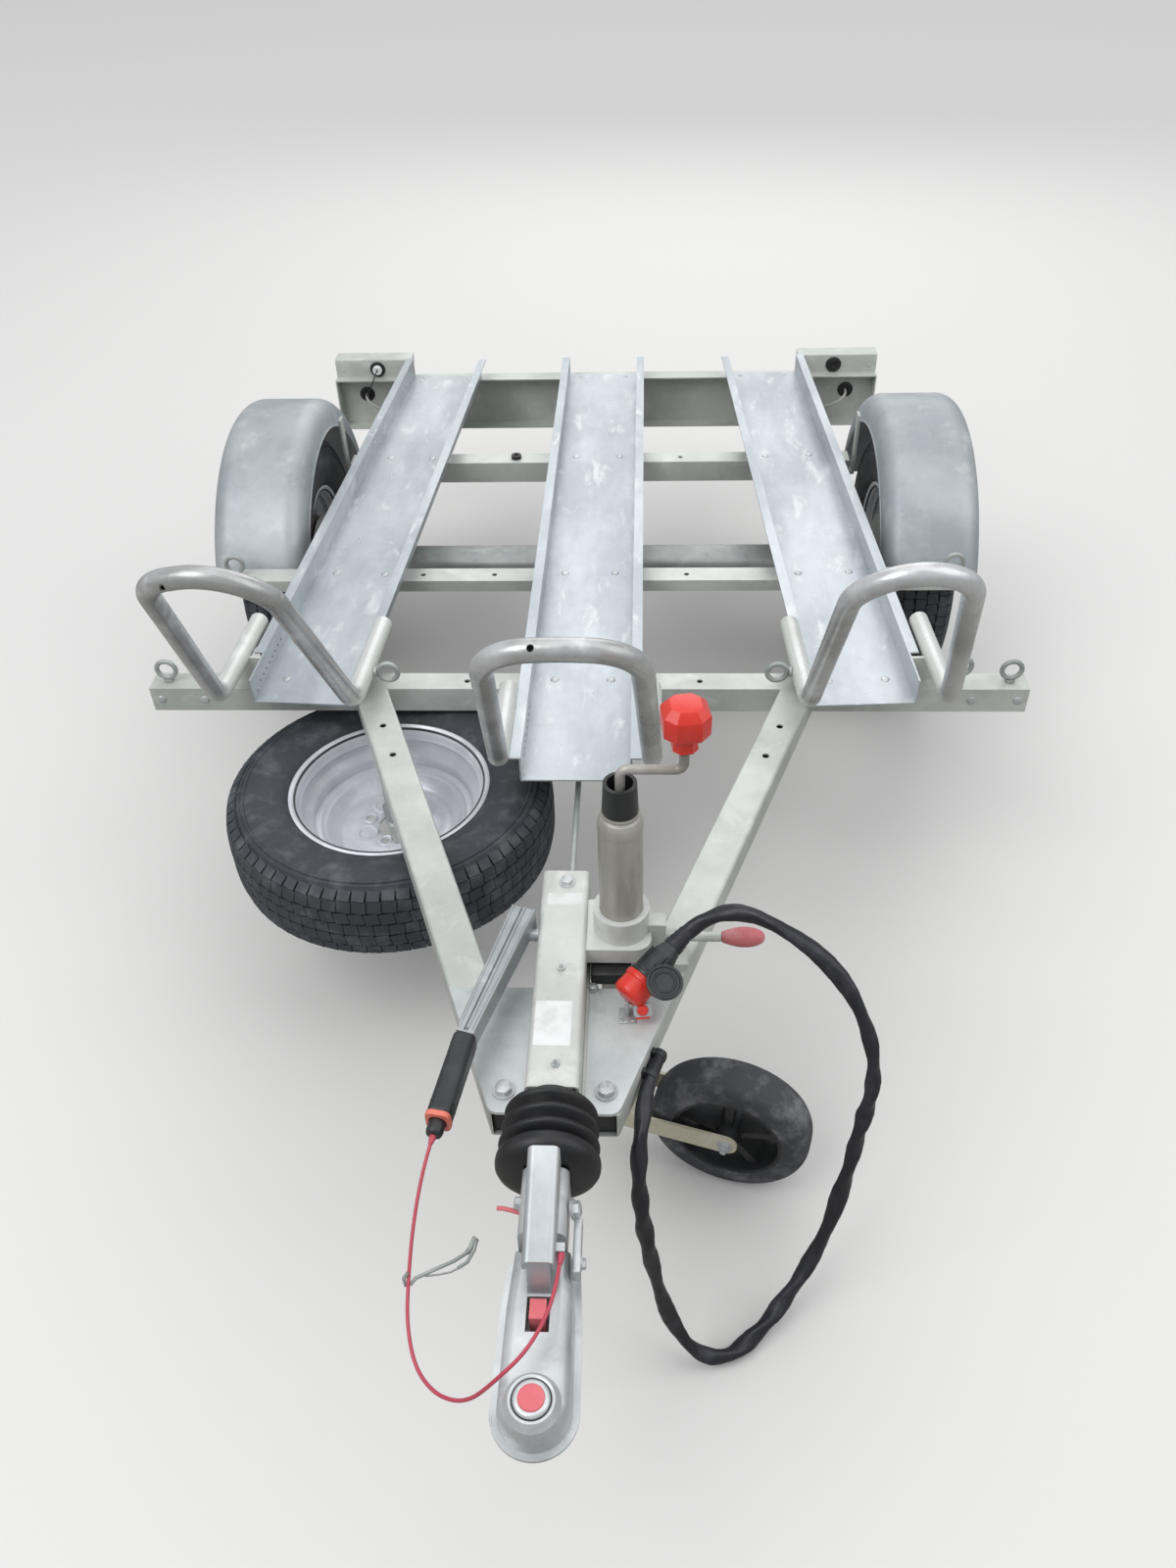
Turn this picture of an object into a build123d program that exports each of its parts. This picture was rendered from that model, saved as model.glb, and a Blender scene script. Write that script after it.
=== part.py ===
# Three-rail motorcycle trailer with a braked coupling, a jockey wheel and a spare wheel.
# Millimetres. X to the right as seen from in front, +Y rearwards, +Z up.
# The origin is on the floor, midway along the length and on the centre line.
from build123d import *
from math import atan2, cos, degrees, radians, sin, tan
import os

# Chassis
bed_z = 470.0                 # top of the cross bars, where the rails lie
bar_size = 50.0               # square section of the front and third cross bars
bar_wall = 3.0
weld_gap = 0.3                # what a clamped or bolted piece keeps from its neighbour
front_bar_y = -81.0
front_bar_half = 808.0
second_bar_y = 296.0
second_bar_half = 760.0
second_bar_height = 25.0
third_bar_y = 835.0
third_bar_half = 600.0
bar_hole_r = 5.5
beam_y = 1311.0               # front edge of the rear channel
beam_half = 735.0
beam_depth = 45.0
beam_height = 139.0
beam_wall = 3.0
member_x = 470.0
member_width = 60.0
member_height = 30.0
member_wall = 2.5

# Drawbar, two box tubes in a V
drawbar_width = 60.0
drawbar_height = 50.0
drawbar_wall = 3.0
drawbar_corner_r = 5.0
drawbar_front_x = 51.0
drawbar_front_y = -1011.0
drawbar_slope = 0.376         # sideways for each millimetre rearwards
drawbar_hole_r = 6.0
drawbar_hole_ys = (-215.0, -296.0)

# Rails
rail_floor = 181.0
rail_height = 50.0
rail_lip = 16.0
rail_wall = 3.0
rail_rear_y = 1334.0
side_rail_front_y = -154.0
side_rail_front_x = 505.0
side_rail_rear_x = 427.0
side_lip_start = 88.0         # from the side rail's front end to its outer lip
centre_rail_front_y = -365.0

# Wheel hoops
hoop_r = 17.0
hoop_wall = 2.5
hoop_lean = 31.0
hoop_corner_r = 78.0
hoop_sleeve = 195.0
hoop_hole_r = 5.0
side_foot_ahead = 50.0        # from a side rail's front end to its hoop's bends
bracket_wall = 6.0

# Road wheels
tyre_r = 289.0
tyre_width = 157.0
tyre_wall = 10.0
rim_r = 165.0
rim_flange_r = 177.0
rim_width = 128.0
rim_wall = 3.0
wheel_x = 715.0
wheel_y = 667.0
disc_offset = 27.0            # how far the bolting face lies outboard of the tyre's middle
bolt_circle = 98.0
bolt_hole_r = 7.0
hub_bore_r = 29.0
disc_flat_r = 68.0
disc_ring_r = 94.0            # raised ring of the wheel disc
drum_r = 106.0
drum_depth = 70.0
drum_wall = 8.0
hub_r = 28.0
stub_r = 17.5
stub_clearance = 0.05
turning_gap = 6.0             # between turning and fixed pieces

# Axle
axle_size = 80.0
axle_wall = 5.0
arm_collar = 30.5             # from the axle beam's end to the swing arm
axle_y = 527.0
axle_corner_r = 14.0
arm_thickness = 25.0
arm_r = 40.0
arm_x = wheel_x - tyre_width / 2 - turning_gap - arm_thickness
axle_half = arm_x - arm_collar

# Mudguards
guard_r = 375.0
guard_width = 200.0
guard_wall = 2.0
guard_shoulder = 42.0
guard_skirt = 62.0
guard_front_angle = 20.5      # above the level of the wheel's centre
guard_rear_angle = 6.0

# Coupling and overrun brake
plate_thickness = 5.0
plate_front_y = -1014.0
plate_rear_y = -811.0
plate_corner_r = 16.0
housing_width = 68.0
housing_top = 532.0
housing_rear_y = -638.0
housing_wall = 4.0
shaft_z = 502.0
shaft_r = 24.0
ball_r = 25.3
ball_y = -1376.0
ball_z = 468.0
ball_mouth = 14.0             # straight wall below the ball's centre
nose_y = -1369.0              # centre of the head's rounded nose
flange_half = 48.0
flange_wall = 4.0
head_inset = 7.0              # from the flange's edge to the head's side
head_draft = 5.0              # how much narrower a side stands at the top
head_wall = 4.0
head_top = 500.0

# Jockey wheel
column_x = 82.0
column_y = -740.0
column_r = 30.0
column_wall = 4.0
column_bottom = 395.0
column_shoulder = 720.0
column_neck_r = 22.0
leg_clearance = 0.5
leg_wall = 3.0
leg_top = 540.0
jockey_r = 127.0
jockey_width = 70.0
jockey_rubber = 40.0
jockey_trail = 178.0
jockey_turn = -16.0           # degrees from +X, as the wheel stands
jockey_axle_r = 8.0
fork_width = 38.0
fork_wall = 5.0

# Spare wheel
spare_x = -336.0
spare_y = -293.0
spare_z = 334.0

# Cables
main_cable_r = 9.0
brake_cable_r = 2.2

os.makedirs("parts", exist_ok=True)


# The parts are drawn from a datum near the middle and moved so that the origin halves the length
lamp_depth = 34.0
length_front = nose_y - flange_half
length_rear = beam_y + beam_depth + lamp_depth
shift_y = -(length_front + length_rear) / 2


def keep(name, shape):
    export_step(Pos(0, shift_y, 0) * shape, f"parts/{name}.step")


def block(x0, x1, y0, y1, z0, z1):
    return Pos((x0 + x1) / 2, (y0 + y1) / 2, (z0 + z1) / 2) * Box(abs(x1 - x0), y1 - y0, z1 - z0)


def rod(start, end, radius):
    line = Vector(*end) - Vector(*start)
    return extrude(Plane(origin=start, z_dir=line) * Circle(radius), line.length)


def tube(start, end, radius, bore):
    line = Vector(*end) - Vector(*start)
    return extrude(Plane(origin=start, z_dir=line) * (Circle(radius) - Circle(bore)), line.length)


def box_tube(half, y, top, depth, height, wall):
    outer = block(-half, half, y - depth / 2, y + depth / 2, top - height, top)
    bore = block(-half - 1, half + 1, y - depth / 2 + wall, y + depth / 2 - wall, top - height + wall, top - wall)
    return outer - bore


def turned(points, angle=360.0):
    # a profile of (radius, height) points turned about Z
    return revolve(Plane.XZ * make_face(Polyline(*points, close=True)), Axis.Z, angle)


sides = ((-1, "left"), (1, "right"))

# Drawbar tubes run from the hitch plate, under the side rails, to the second cross bar
drawbar_angle = degrees(atan2(drawbar_slope, 1.0))
drawbar_end_y = second_bar_y - bar_size / 2
drawbar_across = drawbar_width / cos(radians(drawbar_angle))


def drawbar_x(y):
    return drawbar_front_x + drawbar_slope * (y - drawbar_front_y)


def drawbar_outer(side):
    start = Vector(side * drawbar_x(drawbar_front_y - 60), drawbar_front_y - 60, bed_z - drawbar_height / 2)
    end = Vector(side * drawbar_x(drawbar_end_y + 60), drawbar_end_y + 60, bed_z - drawbar_height / 2)
    along = end - start
    plane = Plane(origin=start, x_dir=Vector(along.Y, -along.X, 0), z_dir=along)
    return plane, along.length


def drawbar_prism(side, wall):
    plane, length = drawbar_outer(side)
    corner = max(drawbar_corner_r - wall, 1)
    section = plane * RectangleRounded(drawbar_width - 2 * wall, drawbar_height - 2 * wall, corner)
    return extrude(section, length)


drawbar_span = block(-front_bar_half, front_bar_half, drawbar_front_y, drawbar_end_y, bed_z - 100, bed_z + 100)
for side, name in sides:
    drawbar = (drawbar_prism(side, 0) - drawbar_prism(side, drawbar_wall)) & drawbar_span
    for y in drawbar_hole_ys:
        drawbar -= Pos(side * drawbar_x(y), y, bed_z) * Cylinder(drawbar_hole_r, 4 * drawbar_wall)
    keep(f"drawbar_{name}", drawbar)

# The front cross bar is in three lengths, cut to the sides of the drawbar tubes
end_hole_pitch = 83.0
end_hole_x = front_bar_half - 18
end_hole_r = 7.0
front_bar = box_tube(front_bar_half, front_bar_y, bed_z, bar_size, bar_size, bar_wall)
for side, name in sides:
    front_bar -= drawbar_prism(side, 0)
    for x in (end_hole_x, end_hole_x - end_hole_pitch):
        hole = Pos(side * x, front_bar_y - bar_size / 2, bed_z - bar_size / 2) * Rot(90, 0, 0)
        front_bar -= hole * Cylinder(end_hole_r, 4 * bar_wall)
    front_bar -= Pos(side * 215, front_bar_y, bed_z) * Cylinder(bar_hole_r, 4 * bar_wall)
keep("crossbar_front", front_bar)

second_bar = box_tube(second_bar_half, second_bar_y, bed_z, bar_size, second_bar_height, bar_wall)
for x in (-350.0, -200.0, 200.0):
    second_bar -= Pos(x, second_bar_y, bed_z) * Cylinder(bar_hole_r, 4 * bar_wall)
keep("crossbar_second", second_bar)

stopper_x = 198.0
third_bar = box_tube(third_bar_half, third_bar_y, bed_z, bar_size, bar_size, bar_wall)
for side in (-1, 1):
    third_bar -= Pos(side * stopper_x, third_bar_y, bed_z) * Cylinder(bar_hole_r, 4 * bar_wall)
keep("crossbar_third", third_bar)

# A rubber stopper plugs the third bar's left hole
stopper = Pos(-stopper_x, third_bar_y, bed_z) * Cylinder(12, 9, align=(Align.CENTER, Align.CENTER, Align.MIN))
stopper -= Pos(-stopper_x, third_bar_y, bed_z + 9) * Cylinder(5, 8)
keep("rubber_stopper", stopper)

# Side members pass under the bars and carry the axle. A packer fills the height under the flat second bar.
member_top = bed_z - bar_size
member_front = 60.0           # clear of the spare tyre
member_rear = beam_y + beam_depth - beam_wall
members = []
for side in (-1, 1):
    x0 = side * member_x - member_width / 2
    x1 = side * member_x + member_width / 2
    z0 = member_top - member_height
    member = block(x0, x1, member_front, member_rear, z0, member_top)
    member -= block(x0 + member_wall, x1 - member_wall, member_front - 1, member_rear + 1,
                    z0 + member_wall, member_top - member_wall)
    member += block(x0, x1, second_bar_y - bar_size / 2, second_bar_y + bar_size / 2,
                    member_top, bed_z - second_bar_height)
    members.append(member)
keep("side_members", Compound(members))

# Rear beam: a channel open towards the front, closed at both ends
beam_rear_y = beam_y + beam_depth
web_y = beam_rear_y - beam_wall
grommet_x = 613.0
grommet_r = 13.0
beam = block(-beam_half, beam_half, beam_y, beam_rear_y, bed_z - beam_height, bed_z)
beam -= block(-beam_half + beam_wall, beam_half - beam_wall, beam_y - 1, web_y,
              bed_z - beam_height + beam_wall, bed_z - beam_wall)
for side in (-1, 1):
    beam -= Pos(side * grommet_x, web_y, bed_z - 45) * Rot(90, 0, 0) * Cylinder(grommet_r, 20)
keep("rear_beam", beam)

# Lamp plates stand on the beam's ends, folded back along the top and both ends
lamp_plate_width = 211.0
lamp_plate_height = 64.0
lamp_plate_y = rail_rear_y + 7
lamp_width = 190.0
lamp_height = 56.0
plates = []
lamps = []
for side in (-1, 1):
    middle = side * (beam_half - lamp_plate_width / 2)
    x0 = middle - lamp_plate_width / 2
    x1 = middle + lamp_plate_width / 2
    top = bed_z + lamp_plate_height
    plate = block(x0, x1, lamp_plate_y, beam_rear_y, bed_z, top)
    plate -= block(x0 + beam_wall, x1 - beam_wall, lamp_plate_y + beam_wall, beam_rear_y + 1,
                   bed_z - 1, top - beam_wall)
    plate -= Pos(side * grommet_x, lamp_plate_y, bed_z + 32) * Rot(90, 0, 0) * Cylinder(grommet_r, 20)
    plates.append(plate)
    lamp = block(middle - lamp_width / 2, middle + lamp_width / 2, beam_rear_y, beam_rear_y + lamp_depth,
                 bed_z + 5, bed_z + 5 + lamp_height)
    lamps.append(fillet(lamp.edges().group_by(Axis.Y)[-1], 6))
keep("lamp_plates", Compound(plates))
keep("tail_lamps", Compound(lamps))

# Rails: folded channels with lips turned outwards, drawn along +Y from their front end
rail_edge = rail_floor / 2 + rail_wall


def rail_solid(length):
    body = block(-rail_edge, rail_edge, 0, length, 0, rail_height)
    body -= block(-rail_floor / 2, rail_floor / 2, -1, length + 1, rail_wall, rail_height + 1)
    for side in (-1, 1):
        x0, x1 = sorted((side * rail_edge, side * (rail_edge + rail_lip)))
        body += block(x0, x1, 0, length, rail_height - rail_wall, rail_height)
    return body


def lip_gap(side, length):
    x0, x1 = sorted((side * rail_edge, side * (rail_edge + rail_lip + 1)))
    return block(x0, x1, -1, length, rail_height - rail_wall - 1, rail_height + 1)


side_run = rail_rear_y - side_rail_front_y
side_splay = degrees(atan2(side_rail_front_x - side_rail_rear_x, side_run))
rail_places = {
    "left": Pos(-side_rail_front_x, side_rail_front_y, bed_z) * Rot(0, 0, -side_splay),
    "centre": Pos(0, centre_rail_front_y, bed_z),
    "right": Pos(side_rail_front_x, side_rail_front_y, bed_z) * Rot(0, 0, side_splay),
}
for side, name in sides:
    rail = rail_solid(side_run / cos(radians(side_splay)))
    rail -= lip_gap(side, side_lip_start)
    rail -= lip_gap(-side, hoop_sleeve + 4)
    keep(f"rail_{name}", rail_places[name] * rail)
keep("rail_centre", rail_places["centre"] * rail_solid(rail_rear_y - centre_rail_front_y))

# Wheel hoops: one bent tube each, with a sleeve along both sides of the rail
centre_foot = rail_edge + rail_lip + hoop_r + weld_gap
inner_foot = rail_edge + hoop_r + weld_gap          # a side hoop's inner sleeve takes the place of the lip
outer_foot = centre_foot + 5
# Both feet's x and the bend's y, then the left corner, the crown and the right corner. A corner is given by
# its x and by its reach, measured up the leaning leg from the sleeves' level.
hoop_rows = (
    ("left", (-outer_foot, inner_foot, -side_foot_ahead), (-91.0, 430.0), (40.0, 470.0), (94.0, 388.0)),
    ("centre", (-centre_foot, centre_foot, 0.0), (-108.0, 420.0), (0.0, 429.0), (108.0, 420.0)),
    ("right", (-inner_foot, outer_foot, -side_foot_ahead), (-113.0, 402.0), (-34.0, 479.0), (55.0, 422.0)),
)
# radii of the foot bends, of the corners and of the crown
hoop_bends = {"left": (55.0, 70.0, 98.0), "centre": (26.0, hoop_corner_r, 260.0), "right": (55.0, 76.0, 85.0)}
hoop_holes = {"left": -48.0, "centre": -36.0, "right": 6.0}


def leaning(x, reach, foot_y):
    lean = radians(hoop_lean)
    return x, foot_y - reach * sin(lean), rail_height + reach * cos(lean)


def hoop_solid(name, feet, corners):
    left_x, right_x, foot_y = feet
    foot_r, corner_r, crown_r = hoop_bends[name]
    points = [(left_x, hoop_sleeve, rail_height), (left_x, foot_y, rail_height)]
    points += [leaning(x, reach, foot_y) for x, reach in corners]
    points += [(right_x, foot_y, rail_height), (right_x, hoop_sleeve, rail_height)]
    path = FilletPolyline(*points, radius=[foot_r, corner_r, crown_r, corner_r, foot_r])
    section = Plane(origin=path @ 0, z_dir=path % 0) * (Circle(hoop_r) - Circle(hoop_r - hoop_wall))
    body = sweep(section, path=path)
    drill_y = foot_y - corners[1][1] * sin(radians(hoop_lean))
    drill_z = rail_height + corners[0][1] * cos(radians(hoop_lean))
    along = (0, -sin(radians(hoop_lean)), cos(radians(hoop_lean)))
    hole = Plane(origin=(hoop_holes[name], drill_y, drill_z), z_dir=along)
    return body - extrude(hole * Circle(hoop_hole_r), 90)


for name, feet, *corners in hoop_rows:
    keep(f"hoop_{name}", rail_places[name] * hoop_solid(name, feet, corners))

# Brackets under the outer sleeves of the side hoops, and between the centre hoop's sleeves and its rail
brackets = []
bracket_y = front_bar_y - side_rail_front_y
for side, name in sides:
    x0, x1 = sorted((side * (rail_edge + weld_gap), side * (outer_foot + hoop_r)))
    saddle = block(x0, x1, bracket_y - bracket_wall / 2, bracket_y + bracket_wall / 2, 0, rail_height)
    saddle -= rod((side * outer_foot, -10, rail_height), (side * outer_foot, 260, rail_height), hoop_r)
    brackets.append(rail_places[name] * saddle)
for side in (-1, 1):
    for y in (45.0, 150.0):
        x0, x1 = sorted((side * rail_edge, side * centre_foot))
        strap = block(x0, x1, y - 15, y + 15, rail_height - rail_wall - bracket_wall, rail_height - rail_wall)
        strap -= rod((side * centre_foot, -10, rail_height), (side * centre_foot, 260, rail_height), hoop_r)
        brackets.append(rail_places["centre"] * strap)
keep("hoop_brackets", Compound(brackets))

# Eye bolts on the bars and at the feet of the side hoops
eye_r = 17.5
eye_wire = 4.5
eye_collar = 6.0
eye_bolt = Pos(0, 0, eye_collar + eye_r + eye_wire - 2) * Rot(90, 0, 0) * Torus(eye_r, eye_wire)
eye_bolt += Cylinder(9, eye_collar, align=(Align.CENTER, Align.CENTER, Align.MIN))
eyes = []
for x, y in ((front_bar_half - 32, front_bar_y), (second_bar_half - 15, second_bar_y)):
    for side in (-1, 1):
        eyes.append(Pos(side * x, y, bed_z) * eye_bolt)
eye_foot_y = 40.0
for name, x in (("left", 1), ("right", -1)):
    inner = x * (inner_foot + hoop_r)
    eyes.append(rail_places[name] * Pos(inner, eye_foot_y, rail_height) * Rot(0, x * 90, 0) * eye_bolt)
outer = outer_foot + hoop_r
eyes.append(rail_places["right"] * Pos(outer, eye_foot_y, rail_height) * Rot(0, 90, 0) * eye_bolt)
keep("eye_bolts", Compound(eyes))

# Axle beam with the brake rod's abutment on its front face
axle_top = member_top - member_height
axle_z = axle_top - axle_size / 2
rod_rear_z = 398.0
abutment_wall = 6.0


def axle_prism(half, size, corner):
    section = Plane(origin=(-half, axle_y, axle_z), x_dir=(0, 1, 0), z_dir=(1, 0, 0))
    return extrude(section * RectangleRounded(size, size, corner), 2 * half)


axle = axle_prism(axle_half, axle_size, axle_corner_r)
axle -= axle_prism(axle_half + 1, axle_size - 2 * axle_wall, axle_corner_r - axle_wall)
abutment_y = axle_y - axle_size / 2
axle += block(-35, 35, abutment_y - abutment_wall, abutment_y, axle_z - 10, rod_rear_z + 16)
keep("axle_beam", axle)

# Trailing arms with stub axles and brake back plates
wheel_z = tyre_r
disc_x = wheel_x + disc_offset
drum_x = disc_x - drum_depth
backplate_x = drum_x - turning_gap - rim_wall
for side, name in sides:
    arm_plane = Plane(origin=(side * axle_half, 0, 0), x_dir=(0, side, 0), z_dir=(side, 0, 0))
    reach = (Vector(0, wheel_y, wheel_z) - Vector(0, axle_y, axle_z)).length
    tilt = degrees(atan2(wheel_z - axle_z, wheel_y - axle_y))
    middle = Pos(0, (axle_y + wheel_y) / 2, (axle_z + wheel_z) / 2)
    outline = SlotCenterToCenter(reach, 2 * arm_r)
    arm = Rot(0, 90, 0) * Rot(0, 0, 90) * extrude(outline, arm_thickness)
    arm = middle * Rot(tilt, 0, 0) * arm
    x0 = side * arm_x if side > 0 else side * (arm_x + arm_thickness)
    arm = Pos(x0, 0, 0) * arm
    collar = rod((side * axle_half, axle_y, axle_z), (side * arm_x, axle_y, axle_z), arm_r - 4)
    boss = rod((side * (arm_x + arm_thickness), wheel_y, wheel_z), (side * backplate_x, wheel_y, wheel_z), hub_r)
    backplate = rod((side * backplate_x, wheel_y, wheel_z),
                    (side * (backplate_x + rim_wall), wheel_y, wheel_z), drum_r - 2)
    stub = rod((side * backplate_x, wheel_y, wheel_z), (side * (disc_x - drum_wall), wheel_y, wheel_z), stub_r)
    keep(f"swing_arm_{name}", arm + collar + boss + backplate + stub)

# A wheel is drawn about Z, with its outboard side up
bulge = tyre_width / 2
bead_half = rim_width / 2 - rim_wall - weld_gap


def tyre_solid():
    r0 = rim_r + weld_gap
    wall = tyre_wall
    sidewall_r = (rim_flange_r + tyre_r) / 2
    outer = [(r0, bead_half), (rim_flange_r + 3, bead_half), (sidewall_r, bulge),
             (tyre_r - 14, bulge - 16), (tyre_r - 3, bulge - 34), (tyre_r, 0)]
    inner = [(tyre_r - wall, 0), (tyre_r - wall - 3, bulge - 36), (tyre_r - wall - 18, bulge - wall - 12),
             (sidewall_r, bulge - wall), (rim_flange_r + 3, bead_half - wall), (r0, bead_half - wall)]

    def half(mirror):
        def at(point):
            return (point[0], mirror * point[1])
        outside = [Line(at(outer[0]), at(outer[1])), ThreePointArc(at(outer[1]), at(outer[2]), at(outer[3])),
                   Line(at(outer[3]), at(outer[4]))]
        inside = [Line(at(inner[1]), at(inner[2])), ThreePointArc(at(inner[2]), at(inner[3]), at(inner[4])),
                  Line(at(inner[4]), at(inner[5])), Line(at(inner[5]), at(outer[0]))]
        return outside, inside

    up_out, up_in = half(1)
    low_out, low_in = half(-1)
    crown = ThreePointArc((outer[4][0], outer[4][1]), outer[5], (outer[4][0], -outer[4][1]))
    lining = Line((inner[1][0], inner[1][1]), (inner[1][0], -inner[1][1]))
    face = make_face(up_out + [crown] + low_out + up_in + [lining] + low_in)
    return revolve(Plane.XZ * face, Axis.Z)


def rim_solid():
    half = rim_width / 2
    wall = rim_wall
    well_r = rim_r - 20
    # outside of the barrel from the inboard flange to the outboard one, then back along the inside
    outside = [(rim_flange_r, -half), (rim_flange_r, -half + wall), (rim_r, -half + wall), (rim_r, -22),
               (well_r, -12), (well_r, 20), (rim_r, 34), (rim_r, half - wall), (rim_flange_r, half - wall),
               (rim_flange_r, half)]
    inside = [(rim_r - wall, half), (rim_r - wall, 36), (well_r - wall, 22), (well_r - wall, -13),
              (rim_r - wall, -24), (rim_r - wall, -half)]
    barrel = turned(outside + inside)
    face_z = disc_offset
    # dished wheel disc: flat centre, raised ring, then down to the well
    top = [(hub_bore_r, face_z + wall), (disc_flat_r, face_z + wall), (disc_ring_r - 10, face_z + 15),
           (disc_ring_r + 10, face_z + 15), (well_r - 23, face_z - 12), (well_r - wall, face_z - 17)]
    bottom = [(r, z - wall) for r, z in reversed(top)]
    disc = turned(top + bottom)
    for i in range(4):
        angle = radians(45 + 90 * i)
        hole = Pos(bolt_circle / 2 * cos(angle), bolt_circle / 2 * sin(angle), face_z)
        disc -= hole * Cylinder(bolt_hole_r, 40)
    return barrel + disc


tyre = tyre_solid()
rim = rim_solid()

hub_cap_r = hub_bore_r - 2
drum = turned([(0, 16), (hub_cap_r - 5, 16), (hub_cap_r, 11), (hub_cap_r, 0), (drum_r, 0), (drum_r, -drum_depth),
               (drum_r - drum_wall, -drum_depth), (drum_r - drum_wall, -drum_wall), (hub_r + 8, -drum_wall),
               (hub_r + 8, -drum_depth + 14), (stub_r + stub_clearance, -drum_depth + 14),
               (stub_r + stub_clearance, -drum_wall + 1), (0, -drum_wall + 1)])

for side, name in sides:
    place = Pos(side * wheel_x, wheel_y, wheel_z) * Rot(0, side * 90, 0)
    keep(f"tyre_{name}", place * tyre)
    keep(f"rim_{name}", place * rim)
    keep(f"brake_drum_{name}", Pos(side * disc_x, wheel_y, wheel_z) * Rot(0, side * 90, 0) * drum)

# Mudguards: a rounded section turned about the wheel's axis
skirt_r = guard_r - guard_skirt


def guard_section(grow):
    half = guard_width / 2 - grow
    top = guard_r - grow
    shoulder = guard_shoulder - grow
    low = skirt_r if grow == 0 else skirt_r - 5
    outline = Polyline((low, -half), (top - shoulder, -half))
    arc_a = RadiusArc((top - shoulder, -half), (top, -half + shoulder), -shoulder)
    crown = Line((top, -half + shoulder), (top, half - shoulder))
    arc_b = RadiusArc((top, half - shoulder), (top - shoulder, half), -shoulder)
    return make_face([outline, arc_a, crown, arc_b, Line((top - shoulder, half), (low, half)),
                      Line((low, half), (low, -half))])


guard_sweep = 180 - guard_front_angle - guard_rear_angle
guard = revolve(Plane.XZ * guard_section(0), Axis.Z, guard_sweep)
guard -= revolve(Plane.XZ * guard_section(guard_wall), Axis.Z, 360)
for side, name in sides:
    # the section starts along +X of its own frame, which becomes the rear end, and turns over the top to the front
    place = Pos(side * wheel_x, wheel_y, wheel_z) * Rot(0, 90, 0) * Rot(0, 0, 90 + guard_rear_angle)
    keep(f"mudguard_{name}", place * guard)

# Stays: a tab behind the second bar, and an angle from the third bar to the inner skirt
stays = []
stay_y = third_bar_y
stay_half = 15.0
for side in (-1, 1):
    full_disc = rod((side * (wheel_x - 120), wheel_y, wheel_z), (side * (wheel_x + 120), wheel_y, wheel_z), guard_r)
    rear_face = second_bar_y + bar_size / 2
    x0, x1 = sorted((side * 690, side * 730))
    stays.append(block(x0, x1, rear_face, rear_face + 60, bed_z - 18, bed_z - 12) - full_disc)
    inner_x = wheel_x - guard_width / 2
    x0, x1 = sorted((side * (inner_x - 5), side * inner_x))
    upright = block(x0, x1, stay_y - stay_half, stay_y + stay_half, bed_z - 40, bed_z + 105)
    x0, x1 = sorted((side * third_bar_half, side * inner_x))
    stays.append(upright + block(x0, x1, stay_y - stay_half, stay_y + stay_half, bed_z - 40, bed_z - 34))
keep("mudguard_stays", Compound(stays))

# Hitch plate on top of the drawbar's front ends
plate_front_half = drawbar_x(plate_front_y) + drawbar_across / 2
plate_rear_half = drawbar_x(plate_rear_y) + drawbar_across / 2
plate_face = make_face(Polyline((-plate_front_half, plate_front_y), (plate_front_half, plate_front_y),
                                (plate_rear_half, plate_rear_y), (-plate_rear_half, plate_rear_y), close=True))
hitch_plate = extrude(Pos(0, 0, bed_z) * plate_face, plate_thickness)
front_corners = hitch_plate.edges().filter_by(Axis.Z).sort_by(Axis.Y)[:2]
hitch_plate = fillet(front_corners, plate_corner_r)
keep("hitch_plate", hitch_plate)

# Overrun housing: a pressed hood over the shaft, open below behind the plate
plate_top = bed_z + plate_thickness
housing_half = housing_width / 2
housing = block(-housing_half, housing_half, plate_front_y, housing_rear_y, plate_top, housing_top)
housing = fillet(housing.edges().filter_by(Axis.Y).group_by(Axis.Z)[-1], 7)
housing -= block(-housing_half + housing_wall, housing_half - housing_wall, plate_front_y - 1,
                 housing_rear_y - housing_wall, plate_top - 1, housing_top - housing_wall)
keep("overrun_housing", housing)

# Shaft, bellows and coupling head
bore = shaft_r + weld_gap
bellows_neck = 12.0
bellows_rings = ((22.0, 58.0), (22.0, 60.0), (21.0, 62.0))    # length and radius
outline = [(bore, 0), (35, 0), (35, bellows_neck - 3), (48, bellows_neck)]
z = bellows_neck
for length, radius in bellows_rings:
    outline += [(radius - 4, z + 3), (radius, z + 8), (radius, z + length - 8), (radius - 4, z + length - 3),
                (radius - 11, z + length)]
    z += length
outline += [(61, z + 3), (64, z + 9), (64, z + 18), (58, z + 26), (44, z + 31), (bore, z + 31)]
bellows_length = z + 31
keep("bellows", Pos(0, plate_front_y, shaft_z) * Rot(90, 0, 0) * turned(outline))
head_rear_y = plate_front_y - bellows_length - 3
shaft_front_y = head_rear_y - 80
shaft_rear_y = housing_rear_y - 60
keep("coupling_shaft", rod((0, shaft_front_y, shaft_z), (0, shaft_rear_y, shaft_z), shaft_r))

# The head's outline: a rounded nose, sides that close in towards the shaft
nose_rear_y = shaft_front_y - 2
flange_places = ((nose_y, flange_half), (nose_y + 97, flange_half - 1.5), (nose_rear_y, flange_half - 6))
head_bottom = ball_z - ball_mouth


def head_face(inset, height):
    right = [(half - inset, y) for y, half in flange_places]
    left = [(-x, y) for x, y in right]
    front = (0, nose_y - flange_half + inset)
    sides = [ThreePointArc(left[0], front, right[0]), Polyline(*right), Line(right[-1], left[-1]),
             Polyline(*reversed(left))]
    return Pos(0, 0, height) * make_face(sides)


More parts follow.
